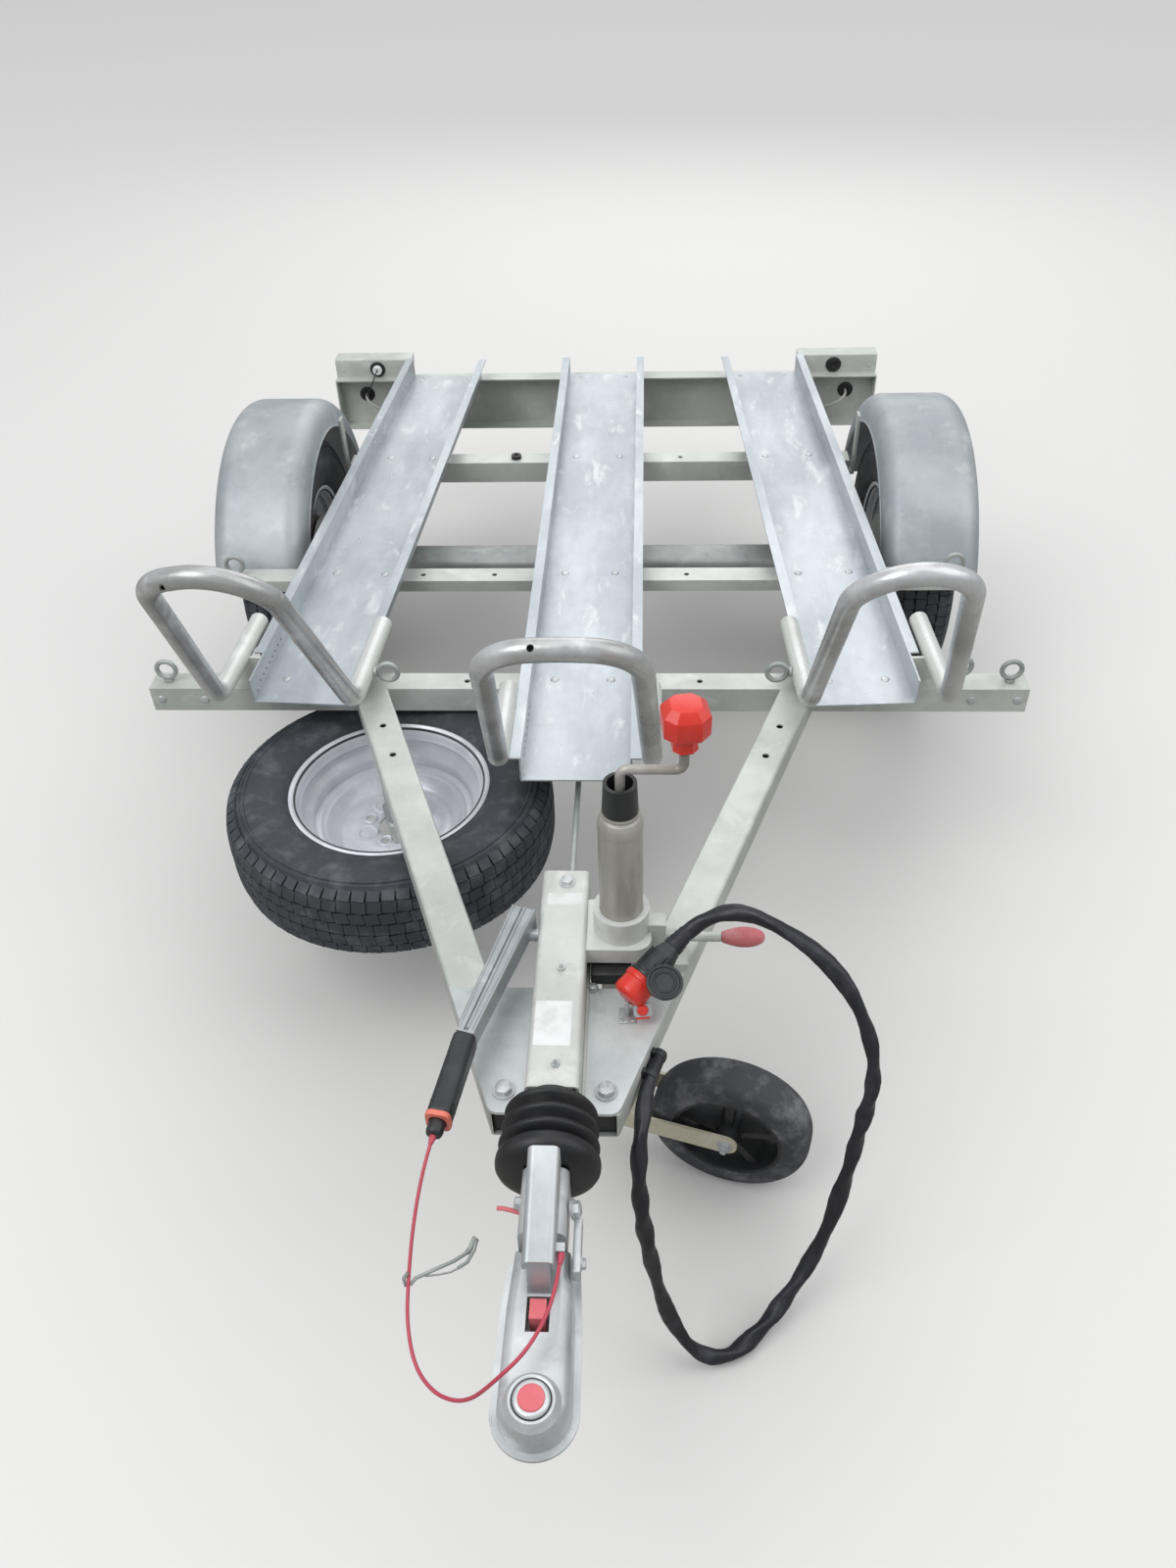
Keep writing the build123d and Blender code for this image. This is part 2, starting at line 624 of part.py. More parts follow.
body = loft([head_face(head_inset, head_bottom), head_face(head_inset + head_draft, head_top)])
body = fillet(body.edges().group_by(Axis.Z)[-1], 13)
cavity = loft([head_face(head_inset + head_wall, head_bottom - 1),
               head_face(head_inset + head_wall + head_draft, head_top - head_wall)])
cavity = fillet(cavity.edges().group_by(Axis.Z)[-1], 9)
cavity &= block(-60, 60, ball_y + 45, nose_rear_y - head_wall, head_bottom - 2, head_top)
slot_front_y = nose_y + 66
slot_rear_y = slot_front_y + 39
floor_z = head_bottom + 12
head = body - cavity + extrude(head_face(0, head_bottom), flange_wall) - cavity
head += block(-60, 60, slot_front_y - 16, slot_rear_y + 24, floor_z - 5, floor_z) & cavity
head -= Pos(0, ball_y, ball_z) * Sphere(ball_r)
head -= rod((0, ball_y, head_bottom - 1), (0, ball_y, ball_z), ball_r)
head += Pos(0, ball_y, head_top - 1) * Cone(24, 20, 9, align=(Align.CENTER, Align.CENTER, Align.MIN))
sleeve_half = 27.5
sleeve_top = shaft_z + 30
sleeve = block(-sleeve_half, sleeve_half, nose_rear_y, head_rear_y, shaft_z - 32, sleeve_top)
sleeve = fillet(sleeve.edges().filter_by(Axis.Y).group_by(Axis.Z)[-1], 12)
sleeve -= rod((0, nose_rear_y - 1, shaft_z), (0, head_rear_y + 1, shaft_z), shaft_r)
head += sleeve
head -= block(-13, 13, slot_front_y, slot_rear_y, head_top - 20, head_top + 20)
keep("coupling_head", head)

button = Pos(0, ball_y, head_top + 8) * Cylinder(14.0, 5, align=(Align.CENTER, Align.CENTER, Align.MIN))
latch = block(-9, 9, slot_front_y + 11, slot_rear_y - 6, floor_z, head_top + 7)
keep("coupling_buttons", Compound([button, latch]))

# Bent sheet handle over the sleeve: its side is a wedge, open below, and a tongue reaches down to the head
handle_half = 18.5
handle_wall = 3.0
handle_rear_y = head_rear_y - 1
handle_front_y = slot_rear_y + 14
handle_low = sleeve_top + weld_gap


def wedge(half, profile):
    face = Plane.YZ * make_face(Polyline(*profile, close=True))
    return extrude(face, half, both=True)


handle = wedge(handle_half, [(handle_front_y, handle_low), (handle_front_y, handle_low + 16),
                             (handle_rear_y, handle_low + 46), (handle_rear_y, handle_low + 16),
                             (handle_rear_y - 19, handle_low)])
long_edges = [edge for edge in handle.edges() if edge.length > 100 and edge.center().Z > handle_low + 10]
handle = fillet(long_edges, 8)
inside = wedge(handle_half - handle_wall, [(handle_front_y + handle_wall, handle_low - 5),
                                           (handle_front_y + handle_wall, handle_low + 16 - handle_wall),
                                           (handle_rear_y - handle_wall, handle_low + 45 - 2 * handle_wall),
                                           (handle_rear_y - handle_wall, handle_low - 5)])
long_edges = [edge for edge in inside.edges() if edge.length > 100 and edge.center().Z > handle_low + 10]
handle -= fillet(long_edges, 5)
tongue_y = slot_rear_y + 3
handle += wedge(13, [(handle_front_y, handle_low + 14), (handle_front_y, handle_low + 10),
                     (tongue_y + 4, head_top + weld_gap), (tongue_y, head_top + weld_gap)])
lug_y = handle_front_y + 21
lug_z = handle_low - 1 + 6
handle += block(handle_half - 1, handle_half + 9.5, lug_y - 5, lug_y + 5, lug_z - 6, lug_z + 6)
keep("coupling_handle", handle)

# Handbrake: pressed channel lever, cranked outwards where the grip starts, and the release button
lever_rear = Vector(-55.0, -730.0, 533.0)
lever_tip = Vector(-114.0, -940.0, 530.0)
grip_length = 120.0
grip_step = Vector(-20.0, -120.0, -2.0).normalized()
grip_end = lever_tip + grip_step * grip_length
lever_line = lever_tip - lever_rear
lever_across = Vector(-lever_line.Y, lever_line.X, 0)


def channel_loft(rear, tip, drop):
    faces = []
    for place, (width, height) in ((lever_rear, rear), (lever_tip, tip)):
        plane = Plane(origin=place - Vector(0, 0, drop), x_dir=lever_across, z_dir=lever_line)
        faces.append(plane * Rectangle(width, height))
    return loft(faces)


lever = channel_loft((35, 36), (24, 30), 0) - channel_loft((29, 36), (18, 30), 4)
groove_lift = Vector(0, 0, 19)
lever -= rod(tuple(lever_rear + groove_lift), tuple(lever_tip + groove_lift - Vector(0, 0, 3)), 3.2)
pivot_y = -752.0
pivot_z = shaft_z + 16
pivot_x = lever_rear.X - 26
lever += rod((pivot_x, pivot_y, pivot_z), (-housing_half, pivot_y, pivot_z), 9)
lever_end_plane = Plane(origin=lever_tip, x_dir=lever_across, z_dir=lever_line)
lever += extrude(lever_end_plane * Rectangle(24, 30), 2)
keep("handbrake_lever", lever)
grip_start = lever_tip + grip_step * 4
grip_plane = Plane(origin=grip_start, x_dir=Vector(-grip_step.Y, grip_step.X, 0), z_dir=grip_step)
grip = extrude(grip_plane * RectangleRounded(30, 33, 8), grip_length - 4)
trim_plane = Plane(origin=grip_end, x_dir=grip_plane.x_dir, z_dir=grip_step)
trim_depth = 7.0
keep("handbrake_trim", extrude(trim_plane * RectangleRounded(32, 35, 9), trim_depth))
trim_end = grip_end + grip_step * trim_depth
button_end = trim_end + grip_step * 18
keep("handbrake_grip", Compound([grip, rod(tuple(trim_end), tuple(button_end), 9.5)]))

# Relay lever and brake rod
rod_front_z = 428.0
relay_y = -650.0
relay = block(-4, 4, relay_y - 15, relay_y + 8, rod_front_z - 12, shaft_z - shaft_r + 44)
relay -= rod((0, relay_y - 40, shaft_z), (0, relay_y + 1, shaft_z), shaft_r + 1)
link = rod((0, relay_y + 8 + weld_gap, rod_front_z), (0, abutment_y - abutment_wall - weld_gap, rod_rear_z), 5)
keep("brake_rod", Compound([relay, link]))

# Jockey wheel clamp: a foot on the right drawbar tube, a ring about the column and an arm to the housing
clamp_r = column_r + 9
clamp_bottom = plate_top + 3
clamp_top = 566.0
column_bore = rod((column_x, column_y, bed_z - 20), (column_x, column_y, clamp_top + 1), column_r + weld_gap)
ring = rod((column_x, column_y, clamp_bottom), (column_x, column_y, clamp_top), clamp_r)
foot_x = drawbar_x(column_y)
foot = block(column_x + 20, foot_x + 22, column_y - 34, column_y + 34, bed_z, clamp_bottom + 6)
web = block(column_x + 25, column_x + 62, column_y - 12, column_y + 12, clamp_bottom, clamp_top - 26)
arm_low = shaft_z - 2
arm_top = arm_low + 26
arm = block(housing_half, column_x + 42, column_y - 46, column_y + 50, arm_low, arm_top)
arm = fillet(arm.edges().filter_by(Axis.Z).sort_by(Axis.X)[-2:], 24)
screw_z = 505.0
screw_x = column_x + 62
screw_length = 78.0
screw = rod((screw_x - 2, column_y, screw_z), (screw_x + screw_length, column_y, screw_z), 7)
keep("jockey_clamp", ring + foot + web + arm - column_bore + screw)
grip_x = screw_x + screw_length
grip = rod((grip_x, column_y, screw_z), (grip_x + 62, column_y, screw_z), 14)
keep("clamp_grip", fillet(grip.edges(), 8))

# Column: outer tube, plastic collar, crank and knob
bore_r = column_r - column_wall
column = turned([(column_r, column_bottom), (column_r, column_shoulder),
                 (column_neck_r + 2, column_shoulder + 18), (column_neck_r, column_shoulder + 22),
                 (column_neck_r, column_shoulder + 26), (0, column_shoulder + 26),
                 (0, column_shoulder), (bore_r, column_shoulder), (bore_r, column_bottom)])
column_place = Pos(column_x, column_y, 0)
collar_bottom = column_shoulder + 26
collar_top = collar_bottom + 45
collar = turned([(0, collar_bottom), (24, collar_bottom), (22, collar_top), (17, collar_top), (17, collar_bottom + 14),
                 (0, collar_bottom + 14)])
keep("jockey_collar", column_place * collar)
crank_z = collar_top + 22
crank_reach = 80.0
crank_path = FilletPolyline((column_x, column_y, collar_bottom + 14), (column_x, column_y, crank_z),
                            (column_x + crank_reach, column_y, crank_z),
                            (column_x + crank_reach, column_y, crank_z + 26), radius=11)
crank_section = Plane(origin=crank_path @ 0, z_dir=crank_path % 0) * Circle(6.5)
keep("jockey_column", column_place * column + sweep(crank_section, path=crank_path))
knob_z = crank_z + 26
knob = Pos(column_x + crank_reach, column_y, knob_z) * extrude(RegularPolygon(21, 8), 20)
knob += Pos(column_x + crank_reach, column_y, knob_z + 20) * extrude(RegularPolygon(30, 8), 48)
keep("jockey_knob", knob)

# Leg, fork and jockey wheel, drawn with the wheel trailing along +X of the column's own frame
leg_r = bore_r - leg_clearance
axle_height = jockey_r
nut = turned([(0, leg_top), (leg_r, leg_top), (leg_r, leg_top + 28), (0, leg_top + 28)])
keep("jockey_nut", column_place * nut)
leg_bottom = axle_height - fork_width / 2 + 2
leg = turned([(leg_r, leg_bottom), (leg_r, leg_top - weld_gap), (leg_r - leg_wall, leg_top - weld_gap),
              (leg_r - leg_wall, leg_bottom)])
turn = Rot(0, 0, jockey_turn)
keep("jockey_leg", column_place * turn * leg)
arm_gap = jockey_width / 2 + turning_gap
fork_rear = leg_r + fork_wall
fork = block(-fork_rear, jockey_trail, -arm_gap - fork_wall, arm_gap + fork_wall,
             axle_height - fork_width / 2, axle_height + fork_width / 2)
fork -= block(-fork_rear + fork_wall, jockey_trail + 1, -arm_gap, arm_gap, 0, 400)
for side in (-1, 1):
    y0, y1 = sorted((side * arm_gap, side * (arm_gap + fork_wall)))
    fork += Pos(jockey_trail, y0, axle_height) * Rot(-90, 0, 0) * Cylinder(
        fork_width / 2, fork_wall, align=(Align.CENTER, Align.CENTER, Align.MIN))
for z in (axle_height - fork_width / 2, axle_height + fork_width / 2 - fork_wall):
    cross = block(-fork_rear + fork_wall, leg_r + 8, -arm_gap, arm_gap, z, z + fork_wall)
    fork += cross - rod((0, 0, 0), (0, 0, 400), leg_r)
axle_end = arm_gap + fork_wall + 6
fork += rod((jockey_trail, -axle_end, axle_height), (jockey_trail, axle_end, axle_height), jockey_axle_r)
keep("jockey_fork", column_place * turn * fork)

wheel_place = column_place * turn * Pos(jockey_trail, 0, axle_height) * Rot(90, 0, 0)
core_r = jockey_r - jockey_rubber
rubber = Cylinder(jockey_r, jockey_width) - Cylinder(core_r, jockey_width + 2)
rubber = fillet(rubber.edges().filter_by(GeomType.CIRCLE).sort_by(SortBy.RADIUS)[-2:], 16)
keep("jockey_tyre", wheel_place * rubber)
core = Cylinder(core_r, jockey_width - 6) - Cylinder(core_r - 8, jockey_width)
for i in range(5):
    spoke = block(0, core_r - 4, -5, 5, -24, 24)
    core += Rot(0, 0, 72 * i) * spoke
core += Cylinder(18, 2 * arm_gap - 2)
core -= Cylinder(jockey_axle_r + stub_clearance, 120)
keep("jockey_core", wheel_place * core)

# Spare wheel, hub side up under the left drawbar tube, hung from a carrier
spare_place = Pos(spare_x, spare_y, spare_z)
keep("spare_tyre", spare_place * tyre)
keep("spare_rim", spare_place * Rot(180, 0, 0) * rim)
carrier_x = -drawbar_x(spare_y)
flange_z = spare_z - disc_offset
carrier = Pos(spare_x, spare_y, flange_z) * Cylinder(62, 5, align=(Align.CENTER, Align.CENTER, Align.MIN))
carrier += rod((spare_x, spare_y, flange_z), (spare_x, spare_y, bed_z - drawbar_height), 16)
keep("spare_carrier", carrier)

# Parking socket on the plate, with the plug in it
socket_axis = Vector(2, 2, 1).normalized()
socket_start = Vector(90, -856, 511)
socket_length = 34.0
socket_end = socket_start + socket_axis * socket_length
plug_length = 62.0
plug_end = socket_end + socket_axis * plug_length
socket = rod(tuple(socket_start), tuple(socket_end), 24)
socket += block(88, 94, socket_start.Y - 9, socket_start.Y + 9, plate_top, socket_start.Z)
keep("plug_socket", socket)
keep("cable_plug", rod(tuple(socket_end), tuple(plug_end), 17))

# Cables: straight runs joined by tangent arcs
main_route = [tuple(plug_end), tuple(plug_end + socket_axis * 32), (212.0, -757.0, 570.0),
              (238.0, -760.0, 578.0), (268.0, -772.0, 581.0), (309.0, -793.0, 572.0), (346.0, -814.0, 556.0),
              (382.0, -837.0, 524.0), (408.0, -861.0, 482.0),
              (424.0, -884.0, 436.0), (428.0, -903.0, 380.0), (416.0, -920.0, 318.0), (408.0, -936.0, 256.0),
              (397.0, -952.0, 194.0), (382.0, -974.0, 134.0), (357.0, -1001.0, 82.0), (322.0, -1036.0, 42.0),
              (280.0, -1078.0, 19.0), (232.0, -1112.0, 13.0), (188.0, -1112.0, 36.0), (158.0, -1098.0, 88.0),
              (140.0, -1090.0, 152.0), (128.0, -1085.0, 222.0), (118.0, -1079.0, 290.0), (110.0, -1066.0, 352.0),
              (107.0, -1036.0, 402.0), (112.0, -992.0, 432.0), (119.9, -940.0, 445.0), (136.4, -896.0, 446.0)]
cable_end = (handle_half + 5.5, lug_y - 5 - weld_gap, lug_z)
brake_route = [tuple(button_end), tuple(button_end + grip_step * 26), (-149.0, -1150.0, 509.0),
               (-152.5, -1190.0, 489.0), (-153.0, -1229.0, 469.0), (-151.0, -1273.0, 450.0),
               (-137.0, -1317.0, 440.0), (-113.0, -1344.0, 441.0), (-88.0, -1357.0, 451.0),
               (-67.0, -1363.0, 472.0), (-50.0, -1363.0, 497.0), (-31.0, -1357.0, 520.0),
               (-11.0, -1342.0, 530.0), (5.0, -1318.0, 534.0), (16.0, -1291.0, 536.0),
               (cable_end[0] - 2, cable_end[1] - 26, cable_end[2]), cable_end]


def cord(name, route, radius):
    runs = [(Vector(*b) - Vector(*a)).length for a, b in zip(route, route[1:])]
    radii = []
    for i in range(1, len(route) - 1):
        before = Vector(*route[i]) - Vector(*route[i - 1])
        after = Vector(*route[i + 1]) - Vector(*route[i])
        turn_angle = before.get_angle(after)
        radii.append(0.45 * min(runs[i - 1], runs[i]) / tan(radians(turn_angle / 2)))
    path = FilletPolyline(*route, radius=radii)
    body = sweep(Plane(origin=path @ 0, z_dir=path % 0) * Circle(radius), path=path)
    expected = 3.14159265 * radius * radius * path.length
    print(name, "length", round(path.length), "smallest radius", round(min(radii), 1),
          "volume ratio", round(body.volume / expected, 4))
    keep(name, body)


cord("main_cable", main_route, main_cable_r)
cord("breakaway_cable", brake_route, brake_cable_r)
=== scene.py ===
from math import cos, hypot, pi, radians, sin

import bmesh
import bpy
from mathutils import Matrix, Vector


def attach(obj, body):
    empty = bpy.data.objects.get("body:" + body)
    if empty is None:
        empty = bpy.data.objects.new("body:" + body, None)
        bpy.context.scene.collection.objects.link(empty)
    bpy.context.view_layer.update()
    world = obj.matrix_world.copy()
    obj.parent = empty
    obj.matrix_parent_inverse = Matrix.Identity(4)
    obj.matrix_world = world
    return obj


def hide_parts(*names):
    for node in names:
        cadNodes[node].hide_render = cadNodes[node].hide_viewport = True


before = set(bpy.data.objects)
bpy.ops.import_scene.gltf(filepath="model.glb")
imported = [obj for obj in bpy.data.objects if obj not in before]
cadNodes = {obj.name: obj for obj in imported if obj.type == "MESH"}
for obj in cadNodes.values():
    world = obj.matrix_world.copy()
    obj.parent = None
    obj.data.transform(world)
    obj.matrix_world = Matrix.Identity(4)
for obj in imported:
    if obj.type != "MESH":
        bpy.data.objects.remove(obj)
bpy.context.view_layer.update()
scene = bpy.context.scene

# Points are written in the source's datum millimetres, and at() takes them to the frame in metres
shiftY = 13.5


def at(x, y, z):
    return Vector((x, y + shiftY, z)) * 0.001


# Camera, fitted to the straight edges of the bed
cameraPlace = at(110.2, -1899.2, 1790.7)
cameraRight = Vector((0.99899, 0.03676, -0.02573))
cameraUp = Vector((-0.00457, 0.65384, 0.75662))
cameraBack = Vector((0.04464, -0.75574, 0.65335))
cameraData = bpy.data.cameras.new("camera")
cameraData.lens = 27.868
camera = bpy.data.objects.new("camera", cameraData)
camera.matrix_world = Matrix((
    (cameraRight.x, cameraUp.x, cameraBack.x, cameraPlace.x),
    (cameraRight.y, cameraUp.y, cameraBack.y, cameraPlace.y),
    (cameraRight.z, cameraUp.z, cameraBack.z, cameraPlace.z),
    (0, 0, 0, 1)))
scene.collection.objects.link(camera)
scene.camera = camera


# Node helpers. A value is a setting of the node or, with a capital, the value of its input.
def link(tree, source, target):
    tree.links.new(source, target)


def node(tree, kind, **values):
    made = tree.nodes.new(kind)
    for key, value in values.items():
        if hasattr(made, key):
            setattr(made, key, value)
        else:
            made.inputs[key.replace("_", " ")].default_value = value
    return made


def objectPoint(tree):
    return node(tree, "ShaderNodeTexCoord").outputs["Object"]


def noise(tree, scale, detail=4.0, rough=0.55, stretch=None, shift=(0, 0, 0), distortion=0.0):
    coords = objectPoint(tree)
    if stretch or any(shift):
        mapping = node(tree, "ShaderNodeMapping", Scale=stretch or (1, 1, 1), Location=shift)
        link(tree, coords, mapping.inputs["Vector"])
        coords = mapping.outputs["Vector"]
    made = node(tree, "ShaderNodeTexNoise", Scale=scale, Detail=detail, Roughness=rough,
                Distortion=distortion)
    link(tree, coords, made.inputs["Vector"])
    return made.outputs["Fac"]


def cells(tree, scale, randomness=1.0):
    made = node(tree, "ShaderNodeTexVoronoi", Scale=scale, Randomness=randomness)
    link(tree, objectPoint(tree), made.inputs["Vector"])
    return made


def ramp(tree, value, low, high, start=0.0, end=1.0, smooth=False):
    made = node(tree, "ShaderNodeMapRange", interpolation_type="SMOOTHSTEP" if smooth else "LINEAR",
                From_Min=low, From_Max=high, To_Min=start, To_Max=end)
    link(tree, value, made.inputs["Value"])
    return made.outputs["Result"]


def blendColour(tree, factor, first, second):
    made = node(tree, "ShaderNodeMix", data_type="RGBA")
    sockets = [s for s in made.inputs if s.type == "RGBA"]
    for target, value in ((made.inputs["Factor"], factor), (sockets[0], first), (sockets[1], second)):
        if isinstance(value, bpy.types.NodeSocket):
            link(tree, value, target)
        else:
            target.default_value = (*value, 1)
    return [s for s in made.outputs if s.type == "RGBA"][0]


def bump(tree, shader, height, strength, distance):
    made = node(tree, "ShaderNodeBump", Strength=strength, Distance=distance)
    link(tree, height, made.inputs["Height"])
    link(tree, made.outputs["Normal"], shader.inputs["Normal"])


def newMaterial(name, metallic=0.0, rough=0.5, specular=0.5):
    material = bpy.data.materials.new(name)
    material.use_nodes = True
    shader = material.node_tree.nodes["Principled BSDF"]
    for key, value in (("Metallic", metallic), ("Roughness", rough), ("Specular IOR Level", specular)):
        shader.inputs[key].default_value = value
    return material, material.node_tree, shader


zincTones = {"crystal": (0.16, 0.18, 0.19), "grime": (0.13, 0.12, 0.10), "rust": (0.30, 0.13, 0.04)}
# sleeves are clean pale zinc: heights in metres where it ends and is gone, colour, share and metallic
sleeveZinc = {"full": 0.527, "gone": 0.548, "colour": (0.60, 0.62, 0.57), "share": 0.85, "metallic": 0.12}


def galvanised(name, dull, bright, stain, spangle=60.0, metallic=0.55, rough=(0.36, 0.58), dirt=0.35,
               rust=0.0, seed=0.0, stretch=None, flake=0.10, sleeves=False, grain=0.10):
    # zinc: soft crystals, cloudy patches, pale oxide stains, grime and a little rust
    material, tree, shader = newMaterial(name, metallic)
    cloud = noise(tree, 5.0, 5.0, 0.6, stretch, (seed, seed, seed))
    base = blendColour(tree, ramp(tree, cloud, 0.36, 0.64, smooth=True), dull, bright)
    grey = node(tree, "ShaderNodeSeparateColor")
    link(tree, cells(tree, spangle).outputs["Color"], grey.inputs["Color"])
    crystals = ramp(tree, grey.outputs["Red"], 0.0, 1.0, 0.0, flake)
    base = blendColour(tree, crystals, base, zincTones["crystal"])
    fog = noise(tree, 13.0, 6.0, 0.65, stretch, (seed + 3.1, 0, seed), 0.4)
    base = blendColour(tree, ramp(tree, fog, 0.54, 0.70, 0.0, 0.55, True), base, stain)
    grime = noise(tree, 24.0, 8.0, 0.7, None, (seed, 4.7, 0))
    base = blendColour(tree, ramp(tree, grime, 0.56, 0.74, 0.0, dirt, True), base, zincTones["grime"])
    if rust:
        spots = noise(tree, 9.0, 8.0, 0.75, None, (0, seed, 8.3))
        rusted = ramp(tree, spots, 0.68 - 0.08 * rust, 0.76, 0.0, 0.9, True)
        base = blendColour(tree, rusted, base, zincTones["rust"])
    if sleeves:
        spot = node(tree, "ShaderNodeSeparateXYZ")
        link(tree, objectPoint(tree), spot.inputs["Vector"])
        share = sleeveZinc["share"]
        below = ramp(tree, spot.outputs["Z"], sleeveZinc["full"], sleeveZinc["gone"], share, 0.0, True)
        base = blendColour(tree, below, base, sleeveZinc["colour"])
        link(tree, ramp(tree, below, 0.0, share, metallic, sleeveZinc["metallic"]), shader.inputs["Metallic"])
    link(tree, base, shader.inputs["Base Color"])
    link(tree, ramp(tree, fog, 0.35, 0.7, *rough), shader.inputs["Roughness"])
    bump(tree, shader, noise(tree, 180.0, 3.0, 0.6), grain, 0.002)
    return material


def plastic(name, colour, worn, rough=0.45, grain=420.0, strength=0.12, wear=0.5, specular=0.45):
    material, tree, shader = newMaterial(name, 0.0, rough, specular)
    patches = noise(tree, 22.0, 7.0, 0.65)
    base = blendColour(tree, ramp(tree, patches, 0.45, 0.72, 0.0, wear, True), colour, worn)
    link(tree, base, shader.inputs["Base Color"])
    link(tree, ramp(tree, patches, 0.3, 0.7, rough * 0.85, min(1.0, rough * 1.3)), shader.inputs["Roughness"])
    bump(tree, shader, noise(tree, grain, 2.0, 0.5), strength, 0.001)
    return material


materials = {
    "bed": galvanised(
        "galvanised_bed", (0.36, 0.40, 0.42), (0.48, 0.52, 0.54), (0.76, 0.78, 0.78),
        45.0, 0.42, (0.27, 0.44), 0.16, 0.0, 1.7, (1.6, 0.55, 1.6), 0.07),
    "frame": galvanised(
        "galvanised_frame", (0.43, 0.45, 0.42), (0.55, 0.57, 0.53), (0.66, 0.67, 0.63),
        70.0, 0.22, (0.36, 0.54), 0.16, 0.35, 5.3, None, 0.05),
    "guard": galvanised(
        "galvanised_guard", (0.30, 0.33, 0.345), (0.39, 0.42, 0.43), (0.52, 0.53, 0.52),
        32.0, 0.35, (0.44, 0.58), 0.22, 0.0, 9.1, None, 0.06),
    "hoop": galvanised(
        "galvanised_hoop", (0.37, 0.37, 0.36), (0.57, 0.575, 0.575), (0.78, 0.78, 0.78),
        80.0, 0.50, (0.24, 0.42), 0.42, 0.7, 12.9, None, 0.10, True),
    "cast": galvanised(
        "galvanised_casting", (0.46, 0.47, 0.44), (0.58, 0.59, 0.56), (0.70, 0.70, 0.67),
        90.0, 0.15, (0.34, 0.52), 0.30, 0.3, 15.4, None, 0.05),
    "plate": galvanised(
        "galvanised_plate", (0.44, 0.48, 0.47), (0.60, 0.63, 0.62), (0.74, 0.76, 0.74),
        60.0, 0.30, (0.30, 0.46), 0.30, 0.2, 17.7, None, 0.06),
    "column": galvanised(
        "weathered_tube", (0.26, 0.245, 0.21), (0.40, 0.39, 0.35), (0.52, 0.51, 0.46),
        90.0, 0.30, (0.40, 0.58), 0.45, 0.5, 18.6, (3.0, 3.0, 0.5), 0.06),
    "zinc": galvanised(
        "zinc_plate", (0.42, 0.44, 0.44), (0.58, 0.60, 0.60), (0.72, 0.73, 0.72),
        120.0, 0.50, (0.26, 0.44), 0.30, 0.2, 19.2, None, 0.06),
    "bright": galvanised(
        "bright_zinc", (0.34, 0.365, 0.375), (0.52, 0.545, 0.55), (0.66, 0.67, 0.665),
        150.0, 0.60, (0.30, 0.44), 0.20, 0.0, 20.8, None, 0.04, False, 0.03),
    "under": galvanised(
        "galvanised_underside", (0.28, 0.30, 0.29), (0.40, 0.42, 0.40), (0.50, 0.52, 0.49),
        60.0, 0.35, (0.42, 0.62), 0.5, 0.6, 22.8),
    "fork": galvanised(
        "yellowed_zinc", (0.50, 0.46, 0.33), (0.62, 0.58, 0.44), (0.72, 0.69, 0.58),
        120.0, 0.25, (0.40, 0.58), 0.35, 0.5, 25.5, None, 0.05),
    "rim": galvanised(
        "silver_paint", (0.60, 0.61, 0.65), (0.74, 0.75, 0.79), (0.84, 0.85, 0.88),
        400.0, 0.28, (0.28, 0.40), 0.14, 0.3, 30.1, None, 0.04),
    "castIron": galvanised(
        "cast_iron", (0.07, 0.065, 0.06), (0.13, 0.12, 0.11), (0.20, 0.15, 0.11),
        150.0, 0.4, (0.55, 0.75), 0.6, 1.0, 33.3),
    "blackRubber": plastic("moulded_rubber", (0.008, 0.008, 0.009), (0.026, 0.025, 0.023),
                           0.42, 300.0, 0.15, 0.6),
    "tyre": plastic("tyre_rubber", (0.034, 0.039, 0.046), (0.105, 0.112, 0.120),
                    0.60, 260.0, 0.25, 0.8, 0.40),
    "solidTyre": plastic("scuffed_rubber", (0.055, 0.056, 0.060), (0.20, 0.20, 0.205),
                         0.72, 150.0, 0.6, 0.9, 0.3),
    "blackPlastic": plastic("black_plastic", (0.016, 0.017, 0.018), (0.05, 0.05, 0.05),
                            0.38, 500.0, 0.10, 0.5),
    "redPlastic": plastic("red_plastic", (0.60, 0.030, 0.018), (0.66, 0.08, 0.05), 0.28, 300.0, 0.06, 0.35),
    "orangeTrim": plastic("red_trim", (0.64, 0.15, 0.10), (0.72, 0.32, 0.25), 0.40, 300.0, 0.06, 0.5),
    "fadedRed": plastic("faded_red", (0.50, 0.13, 0.14), (0.60, 0.32, 0.32), 0.46, 300.0, 0.10, 0.7),
    "pinkRed": plastic("faded_button", (0.60, 0.12, 0.14), (0.66, 0.24, 0.25), 0.45, 300.0, 0.06, 0.7),
    "redCable": plastic("red_cable", (0.42, 0.045, 0.075), (0.52, 0.12, 0.14), 0.35, 400.0, 0.05, 0.6),
    "wrap": plastic("taped_sleeve", (0.008, 0.008, 0.011), (0.034, 0.034, 0.046), 0.38, 240.0, 0.25, 0.8),
    "greyCable": plastic("grey_cable", (0.42, 0.42, 0.40), (0.30, 0.29, 0.27), 0.45, 300.0, 0.05, 0.5),
    "whitePlastic": plastic("white_plastic", (0.72, 0.73, 0.72), (0.58, 0.58, 0.55), 0.40, 300.0, 0.05, 0.4),
    "paleLabel": plastic("blank_label", (0.68, 0.68, 0.67), (0.50, 0.50, 0.48), 0.36, 90.0, 0.1, 0.9),
}


